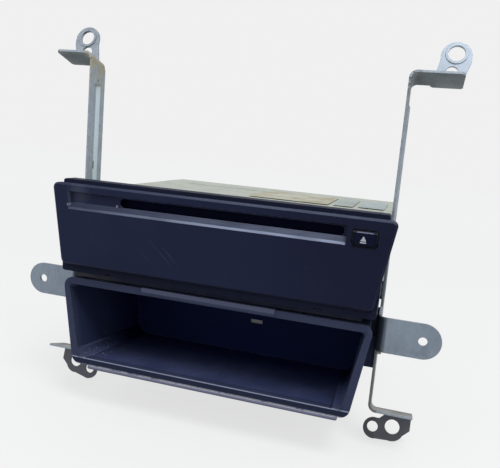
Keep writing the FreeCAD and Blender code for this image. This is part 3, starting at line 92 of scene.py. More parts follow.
# ---------------------------------------------------------------- node helpers
class Surface:
    """A material under construction: one Principled shader and short calls for what feeds it.

    Most calls return a socket whose value is a share from 0 to 1, for mixing colours by.
    """

    # the colour sockets of a Mix node
    MIX_FIRST, MIX_SECOND, MIX_RESULT = 6, 7, 2

    def __init__(self, name, roughness=0.5, metallic=0.0, specular=0.5):
        self.material = bpy.data.materials.new(name)
        self.material.use_nodes = True
        self.tree = self.material.node_tree
        self.shader = self.tree.nodes["Principled BSDF"]
        self.shader.inputs["Roughness"].default_value = roughness
        self.shader.inputs["Metallic"].default_value = metallic
        self.shader.inputs["Specular IOR Level"].default_value = specular
        self.place = self.node("ShaderNodeTexCoord").outputs["Object"]

    def node(self, kind, **settings):
        item = self.tree.nodes.new(kind)
        for name, value in settings.items():
            setattr(item, name, value)
        return item

    def feed(self, socket, value):
        if isinstance(value, bpy.types.NodeSocket):
            self.tree.links.new(value, socket)
        else:
            socket.default_value = value

    def stretched(self, scale, turn=(0.0, 0.0, 0.0)):
        """Object coordinates, turned by degrees and then scaled."""
        item = self.node("ShaderNodeMapping", vector_type="TEXTURE")
        self.feed(item.inputs["Vector"], self.place)
        item.inputs["Rotation"].default_value = [math.radians(a) for a in turn]
        item.inputs["Scale"].default_value = [1 / share for share in scale]
        return item.outputs["Vector"]

    def noise(self, scale, detail, rough=0.55, place=None):
        item = self.node("ShaderNodeTexNoise")
        self.feed(item.inputs["Vector"], place or self.place)
        item.inputs["Scale"].default_value = scale
        item.inputs["Detail"].default_value = detail
        item.inputs["Roughness"].default_value = rough
        return item.outputs["Fac"]

    def cells(self, scale, place):
        item = self.node("ShaderNodeTexVoronoi")
        self.feed(item.inputs["Vector"], place)
        item.inputs["Scale"].default_value = scale
        return item.outputs["Color"]

    def maths(self, operation, first, second=0.0):
        item = self.node("ShaderNodeMath", operation=operation)
        self.feed(item.inputs[0], first)
        self.feed(item.inputs[1], second)
        return item.outputs["Value"]

    def vector_maths(self, operation, first, second):
        item = self.node("ShaderNodeVectorMath", operation=operation)
        self.feed(item.inputs[0], first)
        self.feed(item.inputs[1], second)
        return item.outputs

    def product(self, *shares):
        total = shares[0]
        for share in shares[1:]:
            total = self.maths("MULTIPLY", total, share)
        return total

    def span(self, value, low, high, to_low=0.0, to_high=1.0):
        """The value mapped smoothly from one span to another, held at its ends."""
        item = self.node("ShaderNodeMapRange", interpolation_type="SMOOTHSTEP")
        self.feed(item.inputs["Value"], value)
        limits = {"From Min": low, "From Max": high, "To Min": to_low, "To Max": to_high}
        for name, number in limits.items():
            item.inputs[name].default_value = number
        return item.outputs["Result"]

    def mix(self, share, first, second):
        item = self.node("ShaderNodeMix", data_type="RGBA")
        self.feed(item.inputs["Factor"], share)
        self.feed(item.inputs[self.MIX_FIRST], first)
        self.feed(item.inputs[self.MIX_SECOND], second)
        return item.outputs[self.MIX_RESULT]

    def layers(self, colour, *marks):
        """Marks laid over a colour in turn, each a share and the colour to be mixed in by it."""
        for share, tint in marks:
            colour = self.mix(share, colour, tint)
        return colour

    def normal(self):
        return self.node("ShaderNodeNewGeometry").outputs["Normal"]

    def axis(self, name, vector=None):
        item = self.node("ShaderNodeSeparateXYZ")
        self.feed(item.inputs["Vector"], vector or self.place)
        return item.outputs[name]

    def facing(self, name, low, high):
        """Rises from 0 to 1 as the surface turns towards an axis of the part."""
        return self.span(self.axis(name, self.normal()), low, high)

    def rise(self, name, start, end, to_low=0.0, to_high=1.0):
        """0 up to the start of a stretch along an axis and 1 beyond its end."""
        return self.span(self.axis(name), start * MM, end * MM, to_low, to_high)

    def band(self, name, middle, half, soft):
        """1 within half a width of a level on an axis, falling to 0 over the soft edge."""
        off = self.maths("ABSOLUTE", self.maths("SUBTRACT", self.axis(name), middle * MM))
        return self.span(off, half * MM, (half + soft) * MM, 1.0, 0.0)

    def near(self, x, z, inner, outer):
        """1 within the inner distance of a point seen from the front, falling to 0 at the outer."""
        flat = self.vector_maths("MULTIPLY", self.place, RIGHT + UP)["Vector"]
        reach = self.vector_maths("DISTANCE", flat, (x * MM, 0.0, z * MM))["Value"]
        return self.span(reach, inner * MM, outer * MM, 1.0, 0.0)

    def hollow(self, x, y, z):
        """1 on surfaces that face a point inside the piece, 0 on those that face away from it."""
        off = self.vector_maths("SUBTRACT", self.place, (x * MM, y * MM, z * MM))["Vector"]
        turned = self.vector_maths("DOT_PRODUCT", off, self.normal())["Value"]
        return self.span(turned, 1.0 * MM, -1.0 * MM)

    def rounded(self, radius):
        """The normal of the surface with its edges rounded off."""
        item = self.node("ShaderNodeBevel", samples=6)
        item.inputs["Radius"].default_value = radius * MM
        return item.outputs["Normal"]

    def edge_mask(self, radius):
        """Near 1 along sharp edges and 0 on flat faces."""
        match = self.vector_maths("DOT_PRODUCT", self.rounded(radius), self.normal())["Value"]
        return self.span(self.maths("SUBTRACT", 1.0, match), 0.02, 0.2)

    def bump(self, height, distance, strength, normal=None):
        item = self.node("ShaderNodeBump")
        self.feed(item.inputs["Height"], height)
        item.inputs["Distance"].default_value = distance * MM
        item.inputs["Strength"].default_value = strength
        if normal is not None:
            self.feed(item.inputs["Normal"], normal)
        return item.outputs["Normal"]

    def finish(self, colour, normal, roughness=None):
        self.feed(self.shader.inputs["Base Color"], colour)
        self.feed(self.shader.inputs["Normal"], normal)
        if roughness is not None:
            self.feed(self.shader.inputs["Roughness"], roughness)
        return self.material


# ---------------------------------------------------------------- moulded plastic
DUST = rgb(150, 148, 150)


def moulded(name, dark, light, edge, roughness, grain, dust=0.0, round_off=0.4, specular=0.3, marks=()):
    """Grained moulded plastic: cloudy colour, fine texture, edges paled by wear and painted highlight,
    scratches and dust.

    Each of the marks is a function that returns a share and the colour to be mixed in by it.
    """
    s = Surface(name, specular=specular)
    clouds = s.mix(s.span(s.noise(22, 5), 0.3, 0.7), dark, light)
    # edges paled partly by wear and partly by a painted highlight
    worn = s.product(s.edge_mask(round_off), s.span(s.noise(420, 3), 0.3, 0.65))
    hair = s.noise(60, 2, place=s.stretched((1.0, 1.0, 26.0), (8, 34, 0)))
    scratches = s.product(s.span(hair, 0.735, 0.76), s.span(s.noise(30, 2), 0.5, 0.62), 0.35)
    colour = s.layers(clouds, *[mark(s) for mark in marks], (worn, edge), (scratches, edge))
    if dust:
        grains = s.product(s.span(s.noise(1500, 2), 0.69, 0.76), s.span(s.noise(35, 3), 0.42, 0.66))
        colour = s.mix(s.product(grains, dust), colour, DUST)
    normal = s.bump(s.noise(3800, 2), 0.02, grain, s.rounded(round_off))
    return s.finish(colour, normal, s.span(s.noise(90, 4), 0.3, 0.7, roughness - 0.06, roughness + 0.07))


# the slot panel's marks, each with the X and Z of its middle and the reach of its core and edge
# the first two are painted highlights at the recess's ends and the third is a painted reflection
CORNER_HIGHLIGHT_LEFT = (-86.1, 52.2, 0.2, 1.1)
CORNER_HIGHLIGHT_RIGHT = (-56.3, 54.0, 0.2, 1.0)
REFLECTION_SPOT = (-80.0, 59.5, 1.0, 9.0)
SCRATCHES_RIGHT = (-26.0, 28.0, 2.0, 11.0)
SCRATCHES_LEFT = (-34.0, 32.0, 1.0, 8.0)

# stretches in X over which the panel darkens to the right and its recess ends at the left
PANEL_FADE = (-10.0, 84.0)
RECESS_END = (-80.0, -83.0)

# the painted highlight on the panel's bevels is full from these depths below its top edge, and past
# this share of its right half
HIGHLIGHT_DEPTH = (1.5, 3.0)
HIGHLIGHT_SHARE = 0.4


def recess_corner_highlights(s):
    """Painted highlights on the corners at the ends of the slot's recess."""
    highlight_spots = s.maths("MAXIMUM", s.near(*CORNER_HIGHLIGHT_LEFT), s.near(*CORNER_HIGHLIGHT_RIGHT))
    return s.product(highlight_spots, s.span(s.noise(1900, 3), 0.42, 0.55), 0.9), rgb(196, 200, 214)


def panel_fade(s):
    """The face grows a little darker to the right."""
    return s.rise("X", *PANEL_FADE, 0.0, 0.6), rgb(14, 18, 42)


def panel_painted_reflection(s):
    """A painted reflection on the left end of the recess, a little paler than the face."""
    return s.product(s.near(*REFLECTION_SPOT), 0.22), rgb(128, 134, 156)


def recess_end(s):
    """The recess's left end wall, which catches the light."""
    return s.product(s.facing("X", 0.6, 0.9), s.rise("X", *RECESS_END), 0.4), rgb(132, 140, 162)


def panel_scratches(s):
    """A patch of fine diagonal scratches low on the left half of the face."""
    lines = s.noise(760, 2, place=s.stretched((1.0, 1.0, 0.03), (0, -48, 0)))
    patch = s.maths("MAXIMUM", s.near(*SCRATCHES_RIGHT), s.near(*SCRATCHES_LEFT))
    return s.product(s.span(lines, 0.58, 0.68), patch, 0.2), rgb(120, 126, 152)


def bevel_painted_highlight(s):
    """Painted highlight along the slot's lower bevel, more so to the right, and faint on the panel's own
    edges.
    """
    along = s.rise("X", PANEL_LOW.x, PANEL_HIGH.x * HIGHLIGHT_SHARE, 0.2, 1.0)
    inside = s.rise("Z", PANEL_HIGH.z - HIGHLIGHT_DEPTH[0], PANEL_HIGH.z - HIGHLIGHT_DEPTH[1], 0.22, 1.0)
    streaks = s.span(s.noise(55, 3, place=s.stretched((1.0, 8.0, 8.0))), 0.3, 0.6, 0.65, 1.0)
    return s.product(s.facing("Z", 0.25, 0.65), along, inside, streaks), rgb(168, 179, 208)


# the eject button's cap: its lip at the left and its corners, then half the width and height of its
# hole and of its face, and how far outside them its dark ring of painted shade fades and its dark border
# of painted shade starts
CAP_LIP = 1.2
CAP_ROUND = 1.6
CAP_HOLE = (6.1, 3.9)
CAP_FACE = (4.9, 3.0)
RING_FADE = (1.1, 0.7)
BORDER_START = (0.0, 0.4)
CAP_SHADE = rgb(5, 7, 18)


def from_cap(s, half_width, half_height, start, end):
    """0 at one distance outside a rounded rectangle about the cap's middle and 1 at another."""
    middle_x = (BUTTON_LOW.x + BUTTON_HIGH.x + CAP_LIP) / 2
    middle_z = (BUTTON_LOW.z + BUTTON_HIGH.z) / 2
    squares = []
    for name, middle, half in (("X", middle_x, half_width), ("Z", middle_z, half_height)):
        off = s.maths("ABSOLUTE", s.maths("SUBTRACT", s.axis(name), middle * MM))
        past = s.maths("MAXIMUM", s.maths("SUBTRACT", off, (half - CAP_ROUND) * MM), 0.0)
        squares.append(s.product(past, past))
    reach = s.maths("SUBTRACT", s.maths("SQRT", s.maths("ADD", *squares)), CAP_ROUND * MM)
    return s.span(reach, start * MM, end * MM)


def button_gap_shade(s):
    """Painted shade: the dark ring of the gap round the eject button."""
    return s.product(from_cap(s, *CAP_HOLE, *RING_FADE), 0.95), CAP_SHADE


def button_border(s):
    """The cap's turned-down border, always in shade."""
    return s.product(from_cap(s, *CAP_FACE, *BORDER_START), 0.9), CAP_SHADE


def button_bloom(s):
    """The cap's upper bevel, which catches the light."""
    return s.facing("Z", 0.25, 0.65), rgb(140, 146, 170)


# ---------------------------------------------------------------- storage pocket
# a point inside the pocket and how far its edges are rounded off
POCKET_HEART = (0.0, 25.0, -20.0)
POCKET_ROUND = 0.7

# stretches in Y: the rim's front face, its inner edge, the whole rim, the walls inside it, the
# outside behind it, the deep end, and the front part where dust and crumbs settle
RIM_FACE = (-15.6, -16.0)
RIM_EDGE = (-14.4, -15.0)
RIM_WHOLE = (-9.0, -9.5)
RIM_INSIDE = (-13.0, -8.0)
RIM_BEHIND = (-9.0, -5.0)
DEEP = (14.0, 56.0)
SHALLOW = (34.0, 20.0)

# levels in Z: the rim's lower edge, its underside and the ledge at its top, then bands of the rim
# with their middle, half width and softness
RIM_FOOT = -44.1
# below the rim's lower edge the underside is painted paler, as if lit
RIM_UNDER = (RIM_FOOT + 0.3, RIM_FOOT - 0.2)
LEDGE = (6.2, 6.8)
# a band of painted shade, then bands of painted highlight along the inner and the lower edge, the lower
# also worn
SHADED_BAND = (RIM_FOOT + 2.1, 1.2, 0.5)
INNER_EDGE_HIGHLIGHT = (RIM_FOOT + 4.0, 0.2, 0.3)
OUTER_WEAR_AND_HIGHLIGHT = (RIM_FOOT + 0.1, 0.25, 0.35)

# crumbs at the left of the floor: X, Z and the reach of their core and edge
CRUMBS = (-72.0, -42.0, 3.0, 13.0)


def pocket_plastic():
    """The storage pocket, bluer inside, with painted light and shade and painted highlights along its
    lower rim.
    """
    s = Surface("pocket_plastic", specular=0.1)
    hollow = s.hollow(*POCKET_HEART)
    inside = s.product(hollow, s.rise("Y", *RIM_INSIDE))
    floor = s.product(inside, s.facing("Z", 0.5, 0.9))
    rim = s.rise("Y", *RIM_WHOLE)
    shallow = s.rise("Y", *SHALLOW)
    broken = s.span(s.noise(300, 4), 0.36, 0.52, 0.25, 1.0)
    floor_blue = s.mix(s.span(s.noise(34, 4), 0.3, 0.7), rgb(66, 76, 116), rgb(80, 89, 130))
    dust = s.product(s.span(s.noise(1300, 2), 0.66, 0.74), s.span(s.noise(35, 3), 0.4, 0.62))
    dusty = s.maths("MAXIMUM", floor, s.product(s.facing("Y", -0.5, -0.9), 0.25))
    colour = s.layers(
        s.mix(s.span(s.noise(22, 5), 0.3, 0.7), rgb(65, 72, 100), rgb(76, 83, 113)),
        # painted shade on the outside behind the rim, painted light on the floor, painted shade on the
        # side walls and deep end
        (s.product(s.rise("Y", *RIM_BEHIND), s.maths("SUBTRACT", 1.0, hollow), 0.8), rgb(38, 44, 68)),
        (floor, floor_blue),
        (s.product(inside, s.facing("X", 0.5, 0.9)), rgb(58, 66, 100)),
        (s.product(hollow, s.rise("Y", *DEEP, 0.0, 0.9)), rgb(13, 30, 80)),
        # the rim: painted shade above its lower edge, painted light on the edge, the ledge, and worn
        # corners with painted highlight
        (s.product(rim, s.band("Z", *SHADED_BAND), 0.75), rgb(34, 39, 64)),
        (s.product(rim, s.rise("Z", *RIM_UNDER), 0.85), rgb(146, 149, 176)),
        (s.product(s.rise("Y", *RIM_FACE), s.rise("Z", *LEDGE), 0.7), rgb(118, 122, 150)),
        (s.product(s.edge_mask(POCKET_ROUND), s.span(s.noise(420, 3), 0.3, 0.65)), rgb(104, 110, 138)),
        # two bright lines of painted highlight, the lower one also broken up like wear
        (s.product(s.rise("Y", *RIM_EDGE), s.band("Z", *INNER_EDGE_HIGHLIGHT), 0.95), rgb(184, 190, 220)),
        (s.product(rim, s.band("Z", *OUTER_WEAR_AND_HIGHLIGHT), broken, 0.85), rgb(206, 206, 214)),
        # settled dust, and crumbs at the left
        (s.product(dust, s.product(shallow, dusty)), rgb(180, 180, 186)),
        (s.product(s.span(s.noise(760, 2), 0.62, 0.7), s.near(*CRUMBS), inside, shallow, 0.8),
         rgb(190, 192, 198)))
    normal = s.bump(s.noise(3400, 2), 0.02, 0.5, s.rounded(POCKET_ROUND))
    return s.finish(colour, normal, s.span(s.noise(90, 4), 0.3, 0.7, 0.46, 0.6))


# ---------------------------------------------------------------- sheet steel
SHEET_ROUND = 0.3


def plated_layers(name, colour, shade, stain, roughness, metallic=0.75, brushed=(1.0, 1.0, 14.0),
                  stains=0.5, edge=None):
    """Zinc-plated sheet: crystals, rolling lines, stains and cut edges, which are bright unless told.

    Returns the surface and its colour, normal and roughness, so that marks can be laid over them.
    """
    s = Surface(name, metallic=metallic)
    crystals = s.span(s.cells(420, s.stretched((1.0, 1.0, 0.6))), 0.2, 0.8, 0.0, 0.25)
    lines = s.noise(260, 3, place=s.stretched(brushed))
    mixed = s.layers(
        s.mix(s.maths("ADD", crystals, s.product(lines, 0.6)), colour, shade),
        (s.span(s.noise(48, 6, 0.7), 0.56, 0.72, 0.0, stains), stain),
        (s.product(s.edge_mask(SHEET_ROUND), 0.55), edge or lighter(colour, 1.5)))
    relief = s.maths("ADD", lines, s.product(s.noise(900, 4), 0.6))
    normal = s.bump(relief, 0.015, 0.5, s.rounded(SHEET_ROUND))
    return s, mixed, normal, s.span(s.noise(70, 5), 0.3, 0.7, roughness - 0.1, roughness + 0.12)


def plated(name, **look):
    """Zinc-plated sheet without further marks."""
    s, mixed, normal, rough = plated_layers(name, **look)
    return s.finish(mixed, normal, rough)


# stretches of the brackets in X: the left side and its bend, the right side with its bend and its
# ear, and where the right strap starts and ends
LEFT_SIDE = (-80.0, -90.0)
LEFT_BEND = (-100.0, -97.0)
RIGHT_SIDE = (86.0, 90.0)
RIGHT_BEND = (99.0, 97.0)
RIGHT_EAR = (99.0, 101.0)
STRAP_START = (88.0, 89.0)
STRAP_END = (97.0, 96.0)

# stretches in Z from the ears down to the feet
EARS = (139.0, 142.0)
UPPER_BENDS = (112.0, 136.0)
WAIST = (48.0, 38.0)
WAIST_LOW = (-6.0, -14.0)
FLANGES = (-25.0, -35.0)
FEET = (-46.0, -52.0)

# the ends of the strips' beads, the front faces of the side tabs, and bands with their middle, half
# width and softness: the painted highlight on the bead's flank in Y, and the mark slot's width in Y and
# length in Z
BEAD_LOW = (57.0, 61.0)
BEAD_HIGH = (123.0, 120.0)
TAB_FACES = (3.0, 2.0)
BEAD_GLINT = (17.2, 1.4, 1.0)
MARK_SLOT_ACROSS = (15.5, 0.4, 0.4)
MARK_SLOT_ALONG = (73.3, 2.2, 0.6)


def bracket_zinc():
    """The brackets' plating: freckled, stained yellow on the left upper bend, duller at the feet, with
    painted shade and highlights.
    """
    s, mixed, normal, rough = plated_layers(
        "bracket_zinc", rgb(166, 177, 188), rgb(136, 146, 157), rgb(96, 101, 106), 0.42,
        brushed=(9.0, 9.0, 0.8), edge=rgb(84, 90, 92))
    left = s.rise("X", *LEFT_SIDE)
    high = s.rise("Z", *UPPER_BENDS)
    clusters = s.span(s.noise(60, 4), 0.35, 0.6, 0.1, 0.45)
    freckles = s.product(s.span(s.noise(700, 3, 0.6), 0.52, 0.66), clusters)
    bead = s.product(s.rise("Z", *BEAD_LOW), s.rise("Z", *BEAD_HIGH))
    strap = s.product(s.rise("X", *STRAP_START), s.rise("X", *STRAP_END))
    yellowed = s.product(high, left, s.rise("X", *LEFT_BEND), s.span(s.noise(130, 5), 0.36, 0.58), 0.6)
    tarnished = s.product(high, s.rise("X", *RIGHT_SIDE), s.rise("X", *RIGHT_BEND),
                          s.span(s.noise(380, 4), 0.4, 0.6), 0.7)
    mixed = s.layers(
        mixed,
        (freckles, rgb(104, 109, 116)),
        # painted shade on the undersides and the tabs' front faces, and a painted highlight on the right
        # ear
        (s.product(s.facing("Z", -0.4, -0.8), 0.85), s.mix(left, rgb(84, 92, 93), rgb(58, 68, 68))),
        (s.product(s.facing("Y", -0.6, -0.9), s.rise("Y", *TAB_FACES), 0.5), rgb(122, 135, 154)),
        (s.product(s.rise("X", *RIGHT_EAR), s.rise("Z", *EARS), 0.45), rgb(190, 203, 218)),
        # a painted highlight on the bead's flank, and painted shade in the mark slot
        (s.product(bead, s.band("Y", *BEAD_GLINT), 0.75), rgb(220, 236, 244)),
        (s.product(s.band("Y", *MARK_SLOT_ACROSS), s.band("Z", *MARK_SLOT_ALONG), 0.8), rgb(52, 58, 64)),
        # painted shade on the right strap beside the case, and both upper bends
        (s.product(strap, s.rise("Z", *WAIST), 0.8),
         s.mix(s.rise("Z", *WAIST_LOW), rgb(80, 90, 101), rgb(94, 90, 84))),
        (yellowed, rgb(162, 152, 108)),
        (tarnished, rgb(88, 88, 88)),
        # the lower flanges and the feet
        (s.product(s.facing("Z", 0.5, 0.9), s.rise("Z", *FLANGES), 0.75), rgb(118, 116, 106)),
        (s.product(s.rise("Z", *FEET), 0.9), rgb(74, 74, 80)))
    return s.finish(mixed, normal, rough)


# painted shade low on the case behind the slot panel: stretches in Z, Y and X
CASE_SHADE_LOW = (17.0, 13.0)
CASE_SHADE_FRONT = (16.0, 6.0)
CASE_SHADE_ALONG = (-84.0, -48.0)
CASE_METALLIC = 0.6


def case_steel():
    """The case's plated sheet, with painted shade low behind the slot panel, dark and not metallic
    there.
    """
    s, mixed, normal, rough = plated_layers(
        "case_steel", rgb(158, 160, 148), rgb(132, 136, 126), rgb(112, 100, 80), 0.48,
        metallic=CASE_METALLIC, brushed=(16.0, 1.0, 1.0), stains=0.45)
    cloudy = s.span(s.noise(160, 4), 0.3, 0.6, 0.96, 1.0)
    # the grease share is painted shade, a little weaker towards the left end
    grease = s.product(s.rise("Z", *CASE_SHADE_LOW), s.rise("Y", *CASE_SHADE_FRONT),
                       s.rise("X", *CASE_SHADE_ALONG, 0.82, 1.0), cloudy)
    unshaded = s.maths("SUBTRACT", 1.0, grease)
    s.feed(s.shader.inputs["Metallic"], s.product(unshaded, CASE_METALLIC))
    s.shader.inputs["Specular IOR Level"].default_value = 0.1
    return s.finish(s.mix(grease, mixed, rgb(36, 40, 62)), normal, rough)


# ---------------------------------------------------------------- other materials
def soft_rubber(name, colour, scale):
    """Ground rubber: dull, speckled and slightly uneven."""
    s = Surface(name, roughness=0.85, specular=0.25)
    speckle = s.noise(scale, 5, 0.65)
    mixed = s.mix(s.span(speckle, 0.35, 0.65), colour, lighter(colour, 1.9))
    return s.finish(mixed, s.bump(speckle, 0.05, 0.6, s.rounded(0.3)))


def turned_steel(name, colour):
    """Drawn or turned steel with fine rings and a trace of grease."""
    s = Surface(name, metallic=0.9)
    rings = s.noise(1400, 2, place=s.stretched((1.0, 0.15, 1.0)))
    grease = s.span(s.noise(120, 4), 0.5, 0.68)
    mixed = s.mix(s.product(grease, 0.45), s.mix(rings, colour, rgb(196, 196, 192)), rgb(120, 108, 84))
    normal = s.bump(rings, 0.008, 0.4, s.rounded(0.2))
    return s.finish(mixed, normal, s.span(grease, 0.0, 1.0, 0.22, 0.42))


def solder_mask(name):
    """Green board lacquer with buried copper tracks."""
    s = Surface(name, roughness=0.35)
    tracks = s.node("ShaderNodeTexBrick")
    s.feed(tracks.inputs["Vector"], s.stretched((240.0, 240.0, 240.0), (90, 0, 0)))
    tracks.inputs["Mortar Size"].default_value = 0.12
    lines = s.product(tracks.outputs["Fac"], s.span(s.noise(70, 2), 0.45, 0.5))
    mixed = s.mix(lines, s.mix(s.noise(40, 3), rgb(26, 84, 52), rgb(34, 100, 60)), rgb(72, 140, 78))
    return s.finish(mixed, s.bump(lines, 0.03, 0.8, s.rounded(0.2)))


def tinned_brass(name):
    """Connector pins, their tin worn through to the brass in patches."""
    s = Surface(name, metallic=0.95)
    worn = s.noise(600, 4)
    mixed = s.mix(s.span(worn, 0.4, 0.6), rgb(214, 196, 140), rgb(190, 186, 172))
    return s.finish(mixed, s.bump(worn, 0.01, 0.5, s.rounded(0.1)), s.span(worn, 0.3, 0.7, 0.25, 0.4))


def paper(name, colour, aged):
    """Matt label stock, yellowed in clouds, with a fibrous surface."""
    s = Surface(name, roughness=0.8, specular=0.2)
    clouds = s.span(s.noise(75, 6, 0.7, place=s.stretched((0.7, 1.0, 1.0))), 0.42, 0.62)
    fuzz = s.noise(2400, 4, 0.7)
    mixed = s.layers(colour, (clouds, aged), (s.span(fuzz, 0.5, 0.75, 0.0, 0.25), rgb(116, 108, 88)))
    return s.finish(mixed, s.bump(fuzz, 0.03, 0.6))


def print_ink():
    """White screen-printed ink with a little wear."""
    s = Surface("symbol_ink", roughness=0.55, specular=0.3)
    worn = s.span(s.noise(2600, 4, 0.7), 0.4, 0.68)
    return s.finish(s.mix(worn, rgb(226, 228, 236), rgb(176, 180, 196)), s.bump(worn, 0.01, 0.5))


# ---------------------------------------------------------------- finishes by material slot
PLASTICS = {
    "panel_plastic": dict(
        dark=rgb(32, 38, 66), light=rgb(38, 44, 74), edge=rgb(104, 112, 146), roughness=0.55, grain=0.3,
        dust=0.35, round_off=0.5, specular=0.14,
        marks=(panel_fade, bevel_painted_highlight, panel_painted_reflection, recess_end, recess_corner_highlights, panel_scratches,
               button_gap_shade)),
    "frame_plastic": dict(
        dark=rgb(29, 34, 55), light=rgb(35, 40, 63), edge=rgb(84, 89, 110), roughness=0.55, grain=0.4,
        dust=0.4, specular=0.08),
    "button_plastic": dict(
        dark=rgb(13, 19, 44), light=rgb(18, 24, 52), edge=rgb(104, 110, 140), roughness=0.5, grain=0.2,
        dust=0.2, specular=0.08, marks=(button_bloom, button_border)),
    "shutter_plastic": dict(
        dark=rgb(5, 12, 38), light=rgb(8, 15, 44), edge=rgb(22, 27, 50), roughness=0.75, grain=0.3,
        specular=0.08),
    "chip_plastic": dict(
        dark=rgb(36, 36, 38), light=rgb(44, 44, 46), edge=rgb(80, 80, 82), roughness=0.5, grain=0.4),
    "tray_plastic": dict(
        dark=rgb(48, 48, 52), light=rgb(58, 58, 62), edge=rgb(96, 96, 100), roughness=0.45, grain=0.4),
    "gear_plastic": dict(
        dark=rgb(222, 218, 204), light=rgb(232, 229, 218), edge=rgb(244, 242, 234), roughness=0.4,
        grain=0.3, specular=0.5),
}
SHEETS = {
    "lid_steel": dict(
        colour=rgb(202, 208, 198), shade=rgb(176, 184, 172), stain=rgb(150, 138, 106), roughness=0.5,
        metallic=0.45, brushed=(1.0, 16.0, 1.0), stains=0.4),
    "deck_steel": dict(
        colour=rgb(176, 178, 178), shade=rgb(150, 152, 154), stain=rgb(128, 124, 116), roughness=0.38,
        brushed=(1.0, 12.0, 1.0), stains=0.25),
    "screw_steel": dict(
        colour=rgb(176, 176, 172), shade=rgb(140, 140, 138), stain=rgb(104, 96, 84), roughness=0.36,
        brushed=(1.0, 1.0, 1.0), stains=0.5),
    "motor_can": dict(
        colour=rgb(186, 187, 184), shade=rgb(160, 161, 160), stain=rgb(136, 132, 124), roughness=0.3,
        brushed=(1.0, 1.0, 20.0), stains=0.2),
}
FINISHES = {
    "pocket_plastic": pocket_plastic(),
    "bracket_zinc": bracket_zinc(),
    "case_steel": case_steel(),
    "rod_steel": turned_steel("rod_steel", rgb(176, 178, 180)),
    "damper_rubber": soft_rubber("damper_rubber", rgb(34, 33, 33), 900),
    "roller_rubber": soft_rubber("roller_rubber", rgb(46, 45, 45), 1600),
    "board_green": solder_mask("board_green"),
    "pin_brass": tinned_brass("pin_brass"),
}
FINISHES.update({name: moulded(name, **look) for name, look in PLASTICS.items()})
FINISHES.update({name: plated(name, **look) for name, look in SHEETS.items()})

for part in frame["record"]["subparts"]:
    shown = frame["nodes"][part["node"]].data.materials
    shown.clear()
    shown.append(FINISHES[part["material_slot"]])


# ---------------------------------------------------------------- small surface pieces
def add_object(name, mesh, material):
    """A mesh under construction as an object of the scene."""
    data = bpy.data.meshes.new(name)
    mesh.to_mesh(data)
    mesh.free()
    data.materials.append(material)
    item = bpy.data.objects.new(name, data)
    bpy.context.scene.collection.objects.link(item)
    return item


def add_piece(name, mesh, material, body):
    """A closed mesh as a piece that rides on a body, with the material slot that it belongs to."""
    bmesh.ops.recalc_face_normals(mesh, faces=mesh.faces)
    piece = add_object(name, mesh, material)
    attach(piece, body)
    return piece


def plate_piece(name, outlines, seat, across, up, thickness, material, body, softness=0.4):
    """Outlines in the across and up directions from a seat, extruded and with softened edges.

    Everything is in millimetres, and the softness is a share of the thickness.
    """
    mesh = bmesh.new()
    out = across.cross(up) * thickness * MM
    for points in outlines:
        face = mesh.faces.new([mesh.verts.new((seat + across * a + up * b) * MM) for a, b in points])
        grown = bmesh.ops.extrude_face_region(mesh, geom=[face])["geom"]
        moved = [item for item in grown if isinstance(item, bmesh.types.BMVert)]
        bmesh.ops.translate(mesh, vec=out, verts=moved)
    softened = add_piece(name, mesh, material, body).modifiers.new("softened", "BEVEL")
    softened.width = thickness * softness * MM
    softened.segments = 2


ARC_STEPS = 4
WOBBLE_TURN = 5.3


def rounded_outline(width, height, corner, wobble=0.0):
    """Corners of a rectangle about its middle, each an arc; wobble makes torn or lifted edges."""
    points = []
    for i, (sx, sy) in enumerate(((1, 1), (-1, 1), (-1, -1), (1, -1))):
        for k in range(ARC_STEPS + 1):
            turn = math.pi / 2 * (i + k / ARC_STEPS)
            uneven = wobble * math.sin(WOBBLE_TURN * len(points))
            points.append((sx * (width / 2 - corner) + corner * math.cos(turn) + uneven,
                           sy * (height / 2 - corner) + corner * math.sin(turn) + uneven))
    return points


# the symbol printed on the eject button: a triangle above a bar
SYMBOL_WIDTH = 3.1
SYMBOL_HEIGHT = 2.7
SYMBOL_BAR = 0.6
SYMBOL_GAP = 0.35
SYMBOL_THICK = 0.04
SYMBOL_RISE = 3.4
half = SYMBOL_WIDTH / 2
bar_top, bar_foot = -SYMBOL_GAP, -SYMBOL_GAP - SYMBOL_BAR
triangle = [(-half, 0.0), (half, 0.0), (0.0, SYMBOL_HEIGHT)]
bar = [(-half, bar_foot), (half, bar_foot), (half, bar_top), (-half, bar_top)]
symbol_seat = Vector(((BUTTON_LOW.x + BUTTON_HIGH.x) / 2, BUTTON_LOW.y + 0.75 * SYMBOL_THICK,
                      BUTTON_LOW.z + SYMBOL_RISE))
plate_piece("eject_symbol", [triangle, bar], symbol_seat, RIGHT, UP, SYMBOL_THICK, print_ink(), "button")

# three blank labels on the lid: width and depth, X and Y of the middle, the paper, and its colour
# when new and where aged
LABEL_THICK = 0.12
LABEL_CORNER = 1.5
LABEL_LIFT = 0.25
LABELS = {
    "large": ((54.0, 58.0), (21.0, 97.0), "label_cream", rgb(226, 225, 210), rgb(200, 193, 168)),
    "narrow": ((13.0, 56.0), (57.5, 98.0), "label_pale", rgb(204, 214, 211), rgb(188, 196, 188)),
    "square": ((17.0, 52.0), (75.5, 100.0), "label_blue", rgb(210, 222, 225), rgb(196, 205, 200)),
}
for name, (size, middle, stock, colour, aged) in LABELS.items():
    shape = rounded_outline(*size, LABEL_CORNER, LABEL_LIFT)
    plate_piece("lid_label_" + name, [shape], Vector((*middle, LID_TOP)), RIGHT, BACK, LABEL_THICK,
                paper(stock, colour, aged), "deck")

